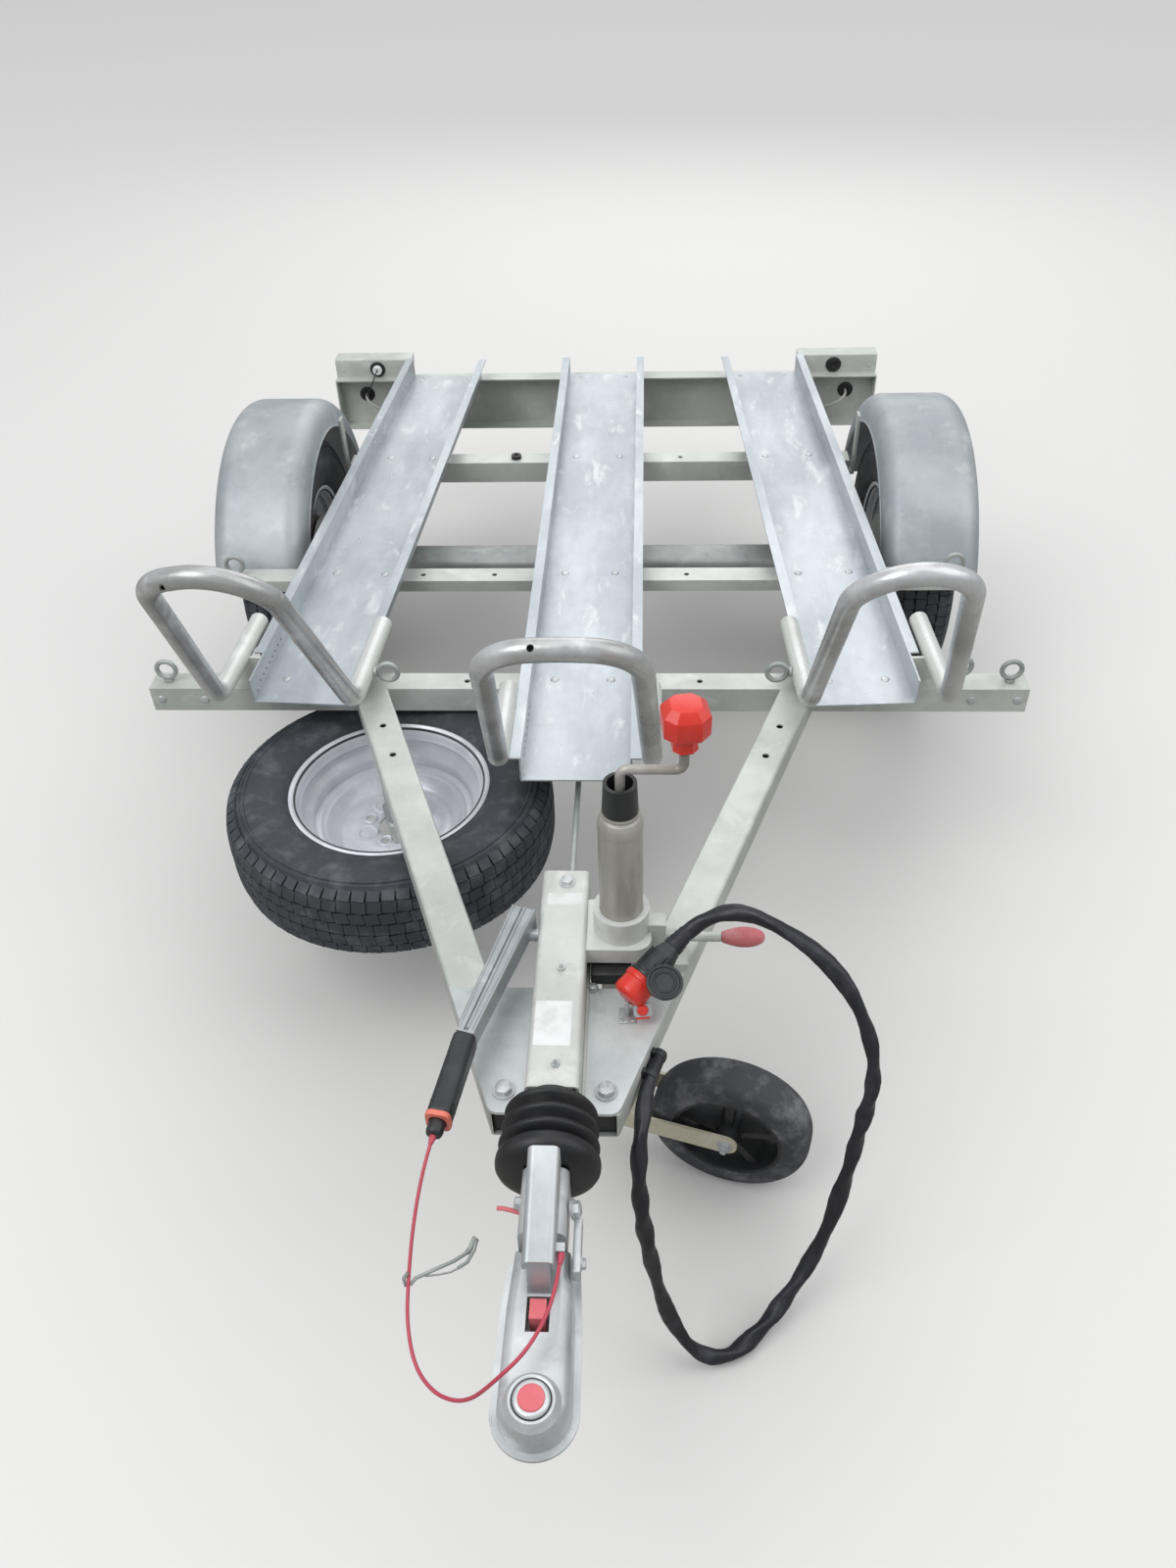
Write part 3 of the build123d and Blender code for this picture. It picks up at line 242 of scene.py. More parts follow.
def lensMaterial(name, colour):
    material, tree, shader = newMaterial(name, 0.0, 0.12)
    shader.inputs["Transmission Weight"].default_value = 0.25
    shader.inputs["Coat Weight"].default_value = 0.4
    dust = ramp(tree, noise(tree, 30.0, 6.0, 0.6), 0.5, 0.75, 0.0, 0.5)
    pale = tuple(0.7 * c + 0.1 for c in colour)
    link(tree, blendColour(tree, dust, colour, pale), shader.inputs["Base Color"])
    bump(tree, shader, cells(tree, 160.0, 0.0).outputs["Distance"], 0.25, 0.002)
    return material


materials["redLens"] = lensMaterial("red_lens", (0.50, 0.010, 0.012))
materials["amberLens"] = lensMaterial("amber_lens", (0.80, 0.24, 0.02))

nodeFinish = {
    "bed": ("rail_left", "rail_centre", "rail_right"),
    "guard": ("mudguard_left", "mudguard_right"),
    "hoop": ("hoop_left", "hoop_centre", "hoop_right"),
    "cast": ("overrun_housing", "jockey_clamp"),
    "plate": ("hitch_plate",),
    "column": ("jockey_column",),
    "zinc": ("coupling_head", "coupling_shaft"),
    "bright": ("coupling_handle", "handbrake_lever"),
    "under": ("axle_beam", "swing_arm_left", "swing_arm_right", "brake_rod", "spare_carrier", "jockey_leg",
              "jockey_nut", "eye_bolts"),
    "fork": ("jockey_fork",),
    "rim": ("rim_left", "rim_right", "spare_rim"),
    "castIron": ("brake_drum_left", "brake_drum_right"),
    "blackRubber": ("bellows", "rubber_stopper"),
    "tyre": ("tyre_left", "tyre_right", "spare_tyre"),
    "solidTyre": ("jockey_tyre",),
    "blackPlastic": ("jockey_core", "jockey_collar", "handbrake_grip", "cable_plug"),
    "redPlastic": ("jockey_knob", "plug_socket"),
    "orangeTrim": ("handbrake_trim",),
    "fadedRed": ("clamp_grip",),
    "pinkRed": ("coupling_buttons",),
    "redLens": ("tail_lamps",),
    "wrap": ("main_cable",),
    "redCable": ("breakaway_cable",),
}
finishOf = {name: finish for finish, names in nodeFinish.items() for name in names}
for name, obj in cadNodes.items():
    obj.data.materials.clear()
    obj.data.materials.append(materials[finishOf.get(name, "frame")])
print("camera and materials")


# Mesh helpers. Sizes are in datum millimetres, and a place is a matrix in metres.
def placeAt(point, ahead=(0, 0, 1), side=None):
    # a frame whose Z runs along ahead and whose X lies nearest to side
    zAxis = Vector(ahead).normalized()
    hint = Vector(side) if side else (Vector((1, 0, 0)) if abs(zAxis.x) < 0.9 else Vector((0, 1, 0)))
    xAxis = (hint - zAxis * hint.dot(zAxis)).normalized()
    yAxis = zAxis.cross(xAxis)
    spot = at(*point)
    return Matrix(((xAxis.x, yAxis.x, zAxis.x, spot.x), (xAxis.y, yAxis.y, zAxis.y, spot.y),
                   (xAxis.z, yAxis.z, zAxis.z, spot.z), (0, 0, 0, 1)))


def joinRings(bm, rings, loop=False):
    pairs = list(zip(rings, rings[1:]))
    if loop:
        pairs.append((rings[-1], rings[0]))
    for low, high in pairs:
        steps = max(len(low), len(high))
        for i in range(steps):
            j = (i + 1) % steps
            if len(low) == 1:
                bm.faces.new((low[0], high[i], high[j]))
            elif len(high) == 1:
                bm.faces.new((low[i], low[j], high[0]))
            else:
                bm.faces.new((low[i], low[j], high[j], high[i]))


def lathe(bm, profile, place, steps=48, loop=False):
    # profile is (radius, height) pairs turned about the place's Z; a radius of 0 closes the end
    rings = []
    for radius, height in profile:
        turns = [2 * pi * i / steps for i in range(steps)] if radius > 0 else [0.0]
        rings.append([bm.verts.new(place @ (Vector((radius * cos(a), radius * sin(a), height)) * 0.001))
                      for a in turns])
    joinRings(bm, rings, loop)


def block(bm, low, high, bevel=0.0, place=None, segments=2):
    made = bmesh.ops.create_cube(bm, size=1.0)["verts"]
    spread = [high[i] - low[i] for i in range(3)]
    middle = [(high[i] + low[i]) / 2 for i in range(3)]
    for v in made:
        spot = [middle[i] + v.co[i] * spread[i] for i in range(3)]
        v.co = place @ (Vector(spot) * 0.001) if place else at(*spot)
    if bevel:
        edges = list(dict.fromkeys(e for v in made for e in v.link_edges))
        bmesh.ops.bevel(bm, geom=edges, offset=bevel * 0.001, segments=segments, profile=0.5, affect="EDGES")


def prism(bm, outline, low, high, place, bevel=0.0):
    # outline is (x, y) pairs in the place's own plane, from height low to high
    rings = [[bm.verts.new(place @ (Vector((x, y, z)) * 0.001)) for x, y in outline] for z in (low, high)]
    joinRings(bm, rings)
    caps = [bm.faces.new(rings[0]), bm.faces.new(rings[1])]
    if bevel:
        edges = list(dict.fromkeys(e for f in caps for e in f.edges))
        bmesh.ops.bevel(bm, geom=edges, offset=bevel * 0.001, segments=2, profile=0.5, affect="EDGES")


def tubeAlong(bm, points, radius, steps=10, lumps=0.0):
    # a round tube through points in the frame, in metres; lumps swells it like a weld's ripples
    axis = [Vector(p) for p in points]
    ahead = [(b - a).normalized() for a, b in zip(axis, axis[1:])]
    ahead = [ahead[0]] + [(a + b).normalized() for a, b in zip(ahead, ahead[1:])] + [ahead[-1]]
    start = Vector((0, 0, 1)) if abs(ahead[0].z) < 0.9 else Vector((1, 0, 0))
    across = ahead[0].cross(start).normalized()
    rings = []
    for i, (spot, way) in enumerate(zip(axis, ahead)):
        across = (across - way * across.dot(way)).normalized()
        third = way.cross(across)
        size = radius * 0.001 * (1 + lumps * (0.5 if i % 2 else -0.5))
        turns = [2 * pi * k / steps for k in range(steps)]
        rings.append([bm.verts.new(spot + (across * cos(a) + third * sin(a)) * size) for a in turns])
    joinRings(bm, rings)
    bm.faces.new(rings[0])
    bm.faces.new(rings[-1])


def arcPoints(centre, radius, start, end, steps, first, second):
    # points of an arc in metres, from angle start to end between the directions first and second
    centre, first, second = Vector(centre), Vector(first), Vector(second)
    angles = [radians(start + (end - start) * i / steps) for i in range(steps + 1)]
    return [at(*(centre + (first * cos(a) + second * sin(a)) * radius)) for a in angles]


def meshOf(bm, name):
    bmesh.ops.recalc_face_normals(bm, faces=bm.faces)
    mesh = bpy.data.meshes.new(name)
    bm.to_mesh(mesh)
    bm.free()
    return mesh


def keepMesh(mesh, name, finish, body="chassis", sharp=35, replaced=()):
    mesh.shade_smooth()
    mesh.set_sharp_from_angle(angle=radians(sharp))
    mesh.materials.clear()
    mesh.materials.append(materials[finish])
    obj = bpy.data.objects.new(name, mesh)
    scene.collection.objects.link(obj)
    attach(obj, body)
    if replaced:
        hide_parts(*replaced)
    return obj


def keep(bm, name, finish, body="chassis", sharp=35, replaced=()):
    return keepMesh(meshOf(bm, name), name, finish, body, sharp, replaced)


def mirrored(profile):
    # a profile of (radius, height) pairs carried on below height 0
    return profile + [(r, -z) for r, z in reversed(profile) if z > 0]


# Geometry Nodes: one small solid of a chosen shape repeated on a table of places
def fastenerGroup(shapeName):
    tree = bpy.data.node_groups.new("repeat_" + shapeName, "GeometryNodeTree")
    face = tree.interface
    face.new_socket("Places", in_out="INPUT", socket_type="NodeSocketGeometry")
    face.new_socket("Finish", in_out="INPUT", socket_type="NodeSocketMaterial")
    for socketName, value in (("Scale", 1.0), ("Scatter", 0.0)):
        face.new_socket(socketName, in_out="INPUT", socket_type="NodeSocketFloat").default_value = value
    face.new_socket("Seed", in_out="INPUT", socket_type="NodeSocketInt").default_value = 7
    face.new_socket("Solids", in_out="OUTPUT", socket_type="NodeSocketGeometry")
    ends = tree.nodes.new("NodeGroupInput"), tree.nodes.new("NodeGroupOutput")

    def make(kind, **values):
        return node(tree, kind, **values)

    def named(attribute):
        made = make("GeometryNodeInputNamedAttribute", data_type="FLOAT_VECTOR", Name=attribute)
        return made.outputs["Attribute"]

    def moved(solid, **values):
        made = make("GeometryNodeTransform", **values)
        link(tree, solid.outputs["Mesh"], made.inputs["Geometry"])
        return made.outputs["Geometry"]

    def cylinder(vertices, radius, low, high):
        made = make("GeometryNodeMeshCylinder", Vertices=vertices, Radius=radius, Depth=high - low)
        return moved(made, Translation=(0, 0, (low + high) / 2))

    def cone(vertices, lowRadius, highRadius, low, high):
        made = make("GeometryNodeMeshCone", Vertices=vertices, Radius_Bottom=lowRadius, Radius_Top=highRadius,
                    Depth=high - low)
        return moved(made, Translation=(0, 0, low))

    def dome(radius, flat):
        made = make("GeometryNodeMeshUVSphere", Segments=20, Rings=10, Radius=radius)
        return moved(made, Scale=(1, 1, flat))

    def cube(size):
        return make("GeometryNodeMeshCube", Size=size).outputs["Mesh"]

    # unit shapes stand on their place with Z outwards; 1 is the shape's own radius
    shapes = {
        "hex": lambda: (cylinder(28, 1.35, -0.1, 0.22), cylinder(6, 1.05, 0.22, 0.95),
                        cone(18, 0.92, 0.78, 0.95, 1.02)),
        "nut": lambda: (cylinder(28, 1.35, -0.1, 0.2), cylinder(6, 1.05, 0.2, 0.9),
                        cylinder(14, 0.55, 0.9, 1.5)),
        "dome": lambda: (dome(1.0, 0.32),),
        "nipple": lambda: (cylinder(6, 1.0, -0.1, 0.7), cone(14, 0.62, 0.45, 0.7, 1.5), dome(0.5, 4.0)),
        "tread": lambda: (cube((1.0, 1.0, 1.0)),),
        "screw": lambda: (cylinder(20, 1.0, -0.1, 0.35), cone(20, 0.98, 0.7, 0.35, 0.6)),
    }
    joined = make("GeometryNodeJoinGeometry")
    for solid in shapes[shapeName]():
        link(tree, solid, joined.inputs[0])
    instance = make("GeometryNodeInstanceOnPoints")
    link(tree, ends[0].outputs["Places"], instance.inputs["Points"])
    link(tree, joined.outputs[0], instance.inputs["Instance"])
    upright = make("FunctionNodeAlignRotationToVector", axis="Z")
    link(tree, named("outward"), upright.inputs["Vector"])
    turned = make("FunctionNodeAlignRotationToVector", axis="X", pivot_axis="Z")
    link(tree, upright.outputs[0], turned.inputs["Rotation"])
    link(tree, named("across"), turned.inputs["Vector"])
    jitter = make("FunctionNodeRandomValue", data_type="FLOAT")
    spin = make("ShaderNodeMath", operation="MULTIPLY")
    link(tree, ends[0].outputs["Seed"], jitter.inputs["Seed"])
    link(tree, [s for s in jitter.outputs if s.type == "VALUE"][0], spin.inputs[0])
    link(tree, ends[0].outputs["Scatter"], spin.inputs[1])
    spinVector = make("ShaderNodeCombineXYZ")
    link(tree, spin.outputs[0], spinVector.inputs["Z"])
    rotated = make("FunctionNodeRotateRotation", rotation_space="LOCAL")
    link(tree, turned.outputs[0], rotated.inputs["Rotation"])
    link(tree, spinVector.outputs[0], rotated.inputs["Rotate By"])
    link(tree, rotated.outputs[0], instance.inputs["Rotation"])
    scaled = make("ShaderNodeVectorMath", operation="SCALE")
    link(tree, named("size"), scaled.inputs[0])
    link(tree, ends[0].outputs["Scale"], scaled.inputs["Scale"])
    link(tree, scaled.outputs["Vector"], instance.inputs["Scale"])
    real = make("GeometryNodeRealizeInstances")
    link(tree, instance.outputs["Instances"], real.inputs["Geometry"])
    finish = make("GeometryNodeSetMaterial")
    link(tree, real.outputs["Geometry"], finish.inputs["Geometry"])
    link(tree, ends[0].outputs["Finish"], finish.inputs["Material"])
    link(tree, finish.outputs["Geometry"], ends[1].inputs["Solids"])
    return tree


fastenerGroups = {}


def repeat(name, shapeName, rows, finish, body="chassis", scatter=0.0, seed=7, sharp=35):
    # rows of (point in datum mm, outward, size in mm or three sizes, across)
    mesh = bpy.data.meshes.new(name + "_places")
    mesh.from_pydata([tuple(at(*row[0])) for row in rows], [], [])
    spans = [row[2] if isinstance(row[2], tuple) else (row[2],) * 3 for row in rows]
    columns = (("outward", [Vector(row[1]).normalized() for row in rows]),
               ("size", [Vector(span) * 0.001 for span in spans]),
               ("across", [Vector(row[3]) if len(row) > 3 else Vector((1, 0.001, 0.002)) for row in rows]))
    for attribute, values in columns:
        layer = mesh.attributes.new(attribute, "FLOAT_VECTOR", "POINT")
        layer.data.foreach_set("vector", [c for value in values for c in value])
    carrier = bpy.data.objects.new(name + "_carrier", mesh)
    scene.collection.objects.link(carrier)
    if shapeName not in fastenerGroups:
        fastenerGroups[shapeName] = fastenerGroup(shapeName)
    group = fastenerGroups[shapeName]
    modifier = carrier.modifiers.new("repeat", "NODES")
    modifier.node_group = group
    wanted = {"Finish": materials[finish], "Scale": 1.0, "Scatter": float(scatter), "Seed": seed}
    for item in group.interface.items_tree:
        if item.name in wanted:
            modifier[item.identifier] = wanted[item.name]
    bpy.context.view_layer.update()
    graph = bpy.context.evaluated_depsgraph_get()
    made = bpy.data.meshes.new_from_object(carrier.evaluated_get(graph), depsgraph=graph)
    bpy.data.objects.remove(carrier)
    return keepMesh(made, name, finish, body, sharp)


# Cables repeat the source's route points
def nurbs(name, points, radius, material, resolution=8):
    data = bpy.data.curves.new(name, "CURVE")
    data.dimensions = "3D"
    data.bevel_depth = radius
    data.bevel_resolution = 5
    data.resolution_u = resolution
    data.use_fill_caps = True
    spline = data.splines.new("NURBS")
    spline.points.add(len(points) - 1)
    for target, point in zip(spline.points, points):
        target.co = (*at(*point), 1)
    spline.order_u = 3
    spline.use_endpoint_u = True
    data.materials.append(material)
    obj = bpy.data.objects.new(name, data)
    scene.collection.objects.link(obj)
    return obj


def keepCord(name, points, radius, finish, replaced=()):
    # a free cord from its first point to its last, with its radius in mm
    obj = nurbs(name, points, radius * 0.001, materials[finish])
    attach(obj, "chassis")
    if replaced:
        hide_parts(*replaced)


mainRoute = (
    (154, -792, 543), (175.3, -770.7, 553.7), (212, -757, 570), (238, -760, 578),
    (268, -772, 581), (309, -793, 572), (346, -814, 556), (382, -837, 524),
    (408, -861, 482), (424, -884, 436), (428, -903, 380), (416, -920, 318),
    (408, -936, 256), (397, -952, 194), (382, -974, 134), (357, -1001, 82),
    (322, -1036, 42), (280, -1078, 19), (232, -1112, 13), (188, -1112, 36),
    (158, -1098, 88), (140, -1090, 152), (128, -1085, 222), (118, -1079, 290),
    (110, -1066, 352), (107, -1036, 402), (112, -992, 432), (119.9, -940, 445),
    (136.4, -896, 446))


def smoothProfile(points, steps=5):
    # a rounded run through (radius, height) points, ends kept
    made = [points[0]]
    for before, here, after in zip(points, points[1:], points[2:]):
        for i in range(steps + 1):
            t = i / steps
            near = [0.5 * (a + b) for a, b in zip(before, here)]
            far = [0.5 * (a + b) for a, b in zip(here, after)]
            made.append(tuple((1 - t) ** 2 * a + 2 * t * (1 - t) * b + t * t * c
                              for a, b, c in zip(near, here, far)))
    made.append(points[-1])
    return made


def cutAway(mesh, cutter):
    # the first mesh less the second, both closed
    pair = []
    for item in (mesh, cutter):
        obj = bpy.data.objects.new("cutting", item)
        scene.collection.objects.link(obj)
        pair.append(obj)
    modifier = pair[0].modifiers.new("cut", "BOOLEAN")
    modifier.operation = "DIFFERENCE"
    modifier.solver = "EXACT"
    modifier.object = pair[1]
    bpy.context.view_layer.update()
    graph = bpy.context.evaluated_depsgraph_get()
    made = bpy.data.meshes.new_from_object(pair[0].evaluated_get(graph), depsgraph=graph)
    for obj in pair:
        bpy.data.objects.remove(obj)
    return made


# Wheels: where each stands, which way its outboard side looks, what its X lies nearest to, and its body
wheelRows = (
    ("left", (-715, 667, 289), (-1, 0, 0), (0, 0, 1), "wheel_left"),
    ("right", (715, 667, 289), (1, 0, 0), (0, 0, 1), "wheel_right"),
    ("spare", (-336, -293, 334), (0, 0, 1), (1, 0, 0), "chassis"),
)
tyreSizes = {"outer": 289, "groove": 4.6, "blocks": 72, "blockDepth": 7}
treadRows = (
    # height on the tread, radius of the block's middle, tilt in degrees, width, share of the pitch, turn
    (0, 285.1, 0, 22, 0.96, 0),
    (25, 284.9, 2.5, 22, 0.95, 9),
    (-25, 284.9, -2.5, 22, 0.95, 9),
    (48.5, 281.9, 12, 20.5, 0.94, -6),
    (-48.5, 281.9, -12, 20.5, 0.94, -6),
    (63.5, 272.5, 52, 18, 0.87, -9),
    (-63.5, 272.5, -52, 18, 0.87, -9),
)


def wheelNode(part, name):
    return "spare_" + part if name == "spare" else part + "_" + name


def tyreProfile():
    # bead, sidewall with its ribs, shoulder and tread, then back along the inside
    base = tyreSizes["outer"] - tyreSizes["groove"]
    outside = [(165.4, 60.5), (170, 60.6), (180, 61), (183.5, 64.5), (190, 68.5), (200, 72.6), (213, 76.6),
               (226, 78), (236, 78), (246, 76.4), (250, 75.2), (251.5, 77.2), (254.5, 77), (255.5, 74.4),
               (258, 73.8), (259.5, 75.4), (262, 74.8), (263.5, 71.8), (268, 68), (273, 60.5), (276.5, 52),
               (base - 3, 43), (base - 0.6, 30), (base, 14), (base + 0.1, 0)]
    inside = [(278, 0), (275.5, 36), (262, 55), (233, 68), (186, 53), (165.4, 50)]
    return mirrored(outside + inside)


def treadBlocks(middle, axisOut, place):
    # a row for each block, as repeat() takes them
    blocks = []
    first, second = (place.to_3x3() @ Vector(side) for side in ((1, 0, 0), (0, 1, 0)))
    for row, (height, radius, tilt, width, share, turn) in enumerate(treadRows):
        count = tyreSizes["blocks"]
        size = (2 * pi * radius / count * share, width, tyreSizes["blockDepth"])
        for i in range(count):
            angle = 2 * pi * (i + 0.5 * (row % 2) + 0.25 * (row > 2)) / count
            spoke = first * cos(angle) + second * sin(angle)
            along = second * cos(angle) - first * sin(angle)
            outward = spoke * cos(radians(tilt)) + axisOut * sin(radians(tilt))
            skew = along * cos(radians(turn)) + axisOut * sin(radians(turn))
            point = Vector(middle) + spoke * radius + axisOut * height
            blocks.append((tuple(point), tuple(outward), size, tuple(skew)))
    return blocks


for name, middle, outboard, upright, body in wheelRows:
    place = placeAt(middle, outboard, upright)
    bm = bmesh.new()
    lathe(bm, tyreProfile(), place, 120, True)
    keep(bm, "tyre_" + name + "_casing", "tyre", body, 40, (wheelNode("tyre", name),))
    repeat("tread_" + name, "tread", treadBlocks(middle, Vector(outboard), place), "tyre", body, sharp=30)
print("tyres")

# Wheel discs: one mesh for all three, with bolt holes, nut seats and the round embossings between them
rimSizes = {"half": 64, "boltCircle": 49, "bolts": 4, "firstBolt": 45, "embossCircle": 54, "valveCircle": 150,
            "spareTurn": -32}


def rimProfile():
    half = rimSizes["half"]
    # the outside from the outboard bead to the inboard one, then the inside up to the disc
    outer = [(173.5, half), (177, half - 1.5), (177, half - 6), (172.5, half - 8.5), (167, half - 10),
             (165.2, half - 14), (164.8, 37), (161, 31), (150, 24.5), (145.2, 19), (145, -8),
             (148, -13.5), (160, -19.5), (164.8, -26), (165.2, -half + 14), (167, -half + 10),
             (172.5, -half + 8.5), (177, -half + 6), (177, -half + 1.5), (173.5, -half)]
    inner = [(171.5, -half + 1), (168, -half + 4), (163.6, -half + 9), (161.8, -half + 15), (161.4, -45),
             (159.2, -42.5), (157.8, -40), (159.2, -37.5), (161.4, -35), (161.4, -29),
             (157.5, -23), (146.5, -16.5), (142, -10.5), (141.8, 6)]
    # from the well to the bore, and back along the disc's other face
    discBack = [(136, 8), (131.5, 8), (128, 11), (122, 12.5), (110, 33), (101, 38.5), (92, 38),
                (83, 33.5), (72, 27.2), (64, 26.6), (44, 26.6), (37, 28), (33, 31), (30, 31.5)]
    discFace = [(30, 34.8), (34.5, 34), (38.5, 31), (45, 29.8), (64, 29.8), (70.5, 30.4), (81.5, 36.8),
                (92, 41.6), (102, 42), (113, 35.5), (126.5, 14.8), (137, 12), (141.6, 14)]
    rest = [(142, 20.5), (147.5, 27), (158.5, 34), (161.4, 39), (161.6, half - 15), (162.6, half - 10),
            (168, half - 6.5), (170.5, half - 2)]
    return outer + inner + discBack + discFace + rest


def around(radius, degrees, height=0):
    # a place on a circle about Z
    a = radians(degrees)
    return Matrix.Translation(Vector((radius * cos(a), radius * sin(a), height)) * 0.001)


boltAngles = [rimSizes["firstBolt"] + 360 * i / rimSizes["bolts"] for i in range(rimSizes["bolts"])]
bm = bmesh.new()
lathe(bm, rimProfile(), Matrix.Identity(4), 96, True)
rimMesh = meshOf(bm, "rim_solid")
bm = bmesh.new()
for angle in boltAngles:
    spot = around(rimSizes["boltCircle"], angle, 28)
    lathe(bm, [(0, -12), (7, -12), (7, 0.6), (10, 3.2), (10, 12), (0, 12)], spot, 24)
lathe(bm, [(0, -16), (5.6, -16), (5.6, 16), (0, 16)], around(rimSizes["valveCircle"], 0, 30), 16)
rimMesh = cutAway(rimMesh, meshOf(bm, "rim_holes"))
embossings = bmesh.new()
embossings.from_mesh(rimMesh)
for angle in boltAngles:
    spot = around(rimSizes["boltCircle"], angle)
    lathe(embossings, [(10, 29), (10.2, 31.4), (12.5, 32.4), (15.5, 30.8), (17, 29.2)], spot, 28)
    lathe(embossings, [(7.6, 27), (8.4, 24.8), (10.5, 24.2), (13, 27)], spot, 28)
    spot = around(rimSizes["embossCircle"], angle - rimSizes["firstBolt"])
    lathe(embossings, [(15.5, 29.2), (17, 31.2), (18.5, 31.6), (20, 29.4)], spot, 28)
    lathe(embossings, [(13, 27), (14.5, 24.4), (17.5, 23.6), (20, 27)], spot, 28)
rimMesh = meshOf(embossings, "rim_mesh")
hubCap = [(0, 45), (15, 45), (24, 43), (26.6, 36), (27, 27)]
for name, middle, outboard, upright, body in wheelRows:
    if name == "spare":
        # it lies with its inboard side up
        place = placeAt(middle, (0, 0, -1), upright) @ Matrix.Rotation(radians(rimSizes["spareTurn"]), 4, "Z")
    else:
        place = placeAt(middle, outboard, upright)
    mesh = rimMesh.copy()
    mesh.transform(place)
    keepMesh(mesh, "rim_" + name + "_disc", "rim", body, 40, (wheelNode("rim", name),))
    if name == "spare":
        continue
    bm = bmesh.new()
    lathe(bm, smoothProfile(hubCap, 4), place, 40)
    keep(bm, "hub_cap_" + name, "zinc", body, 40)
    bm = bmesh.new()
    lathe(bm, [(0, 30), (3.8, 30), (4, 36), (3.2, 40), (3.2, 56), (4.2, 54), (4.2, 62), (0, 63)],
          place @ around(rimSizes["valveCircle"], 0, -4), 16)
    keep(bm, "valve_" + name, "blackRubber", body, 40)
    rows = []
    for angle in boltAngles:
        spot = (place @ around(rimSizes["boltCircle"], angle, 30.5)).translation * 1000
        rows.append(((spot.x, spot.y - shiftY, spot.z), outboard, 9, (0, 0.3, 1)))
    repeat("wheel_bolts_" + name, "hex", rows, "zinc", body, 2, 11)
# a strap over the spare wheel's bore holds it, on a tube under the drawbar
carrierSizes = {"length": 120, "width": 30, "thick": 5, "tube": 13.5, "wall": 3, "top": 113}
carrierPlace = placeAt((-336, -293, 307), (0, 0, 1), (0.376, -1, 0))
l, w = carrierSizes["length"] / 2, carrierSizes["width"] / 2
ends = [(l - w * (1 - cos(radians(a))), w * sin(radians(a))) for a in range(-90, 91, 18)]
ends += [(-x, -y) for x, y in ends]
bm = bmesh.new()
prism(bm, ends, 0.2, carrierSizes["thick"], carrierPlace, 0.8)
tube, top = carrierSizes["tube"], carrierSizes["top"]
bore = tube - carrierSizes["wall"]
lathe(bm, [(bore, 2), (tube, 2), (tube, top), (bore, top)], carrierPlace, 32, True)
fillet = smoothProfile([(tube, 9.5), (tube + 2, 8), (tube + 4.5, 5)], 2)
lathe(bm, fillet + [(tube, 4)], carrierPlace, 32, True)
keep(bm, "carrier_strap", "under", sharp=40, replaced=("spare_carrier",))
print("wheels")

# Bellows: three sharp-edged rings and a smooth boot, in place of the source's plain rings
# each ring is (length, radius)
bellowsSizes = {"front": -1014, "height": 502, "bore": 24.3, "neck": 12,
                "rings": ((22, 58), (22, 60), (21, 62))}


def bellowsProfile():
    bore, z = bellowsSizes["bore"], bellowsSizes["neck"]
    ring = ((-13, -1.5), (-8.5, 1), (-4, 4), (-1.4, 7.2), (-0.3, 9.6), (-0.1, 11.2), (-0.8, 12.6), (-3, 14.2),
            (-7.5, 17))
    made = [(bore, 0), (34.6, 0), (35, 1), (35, 7), (37, 9.5)]
    for length, radius in bellowsSizes["rings"]:
        made += [(radius + dr, z + dz) for dr, dz in ring]
        z += length
    made += [(50, z - 1.5), (54.5, z + 0.5), (60.5, z + 3.6), (63.3, z + 8), (63.9, z + 13), (63.2, z + 19),
             (60, z + 24), (53, z + 28.4), (44, z + 30.8), (34, z + 31), (bore, z + 31)]
    return made


bm = bmesh.new()
bellowsStart = (0, bellowsSizes["front"], bellowsSizes["height"])
lathe(bm, bellowsProfile(), placeAt(bellowsStart, (0, -1, 0), (1, 0, 0)), 96)
keep(bm, "bellows_rings", "blackRubber", sharp=50, replaced=("bellows",))

# Coupling: boss round the wear button, side strip, dark pieces that paint shade in the button's groove, under
# the casting and in the drawbar's open ends, the cap with its pin
couplingSizes = {"ballY": -1376, "top": 500, "tubeEnd": (24.6, 79), "pin": 2.6}
bossPlace = placeAt((0, couplingSizes["ballY"], couplingSizes["top"]))
bm = bmesh.new()
lathe(bm, [(31, -1), (30, 0.6), (27.4, 3.4), (26, 7.4), (24.6, 9.2), (22.4, 9.2), (21.4, 8.4), (21.2, 6)],
      bossPlace, 64)
lathe(bm, [(19.8, 6), (19.8, 9.6), (18.4, 11.6), (16.8, 12.2), (14.4, 12.2)], bossPlace, 48)
block(bm, (35, -1240, 486), (44.5, -1174, 509), 2.5)
keep(bm, "coupling_trim", "zinc", sharp=40)
bm = bmesh.new()
# a thin dark ring at the bottom of the groove round the button, painted shadow in the gap
lathe(bm, [(21.6, 8.15), (21.6, 8.5), (19.4, 8.5), (19.4, 8.15)], bossPlace, 48, True)
# a dark block and a thin strip under the casting's front edge, painted shade for the recess there
block(bm, (40, -806, 475.2), (96, -777, 497), 4, None, 3)
block(bm, (37, -770, 478), (118, -764, 499), 1.5)
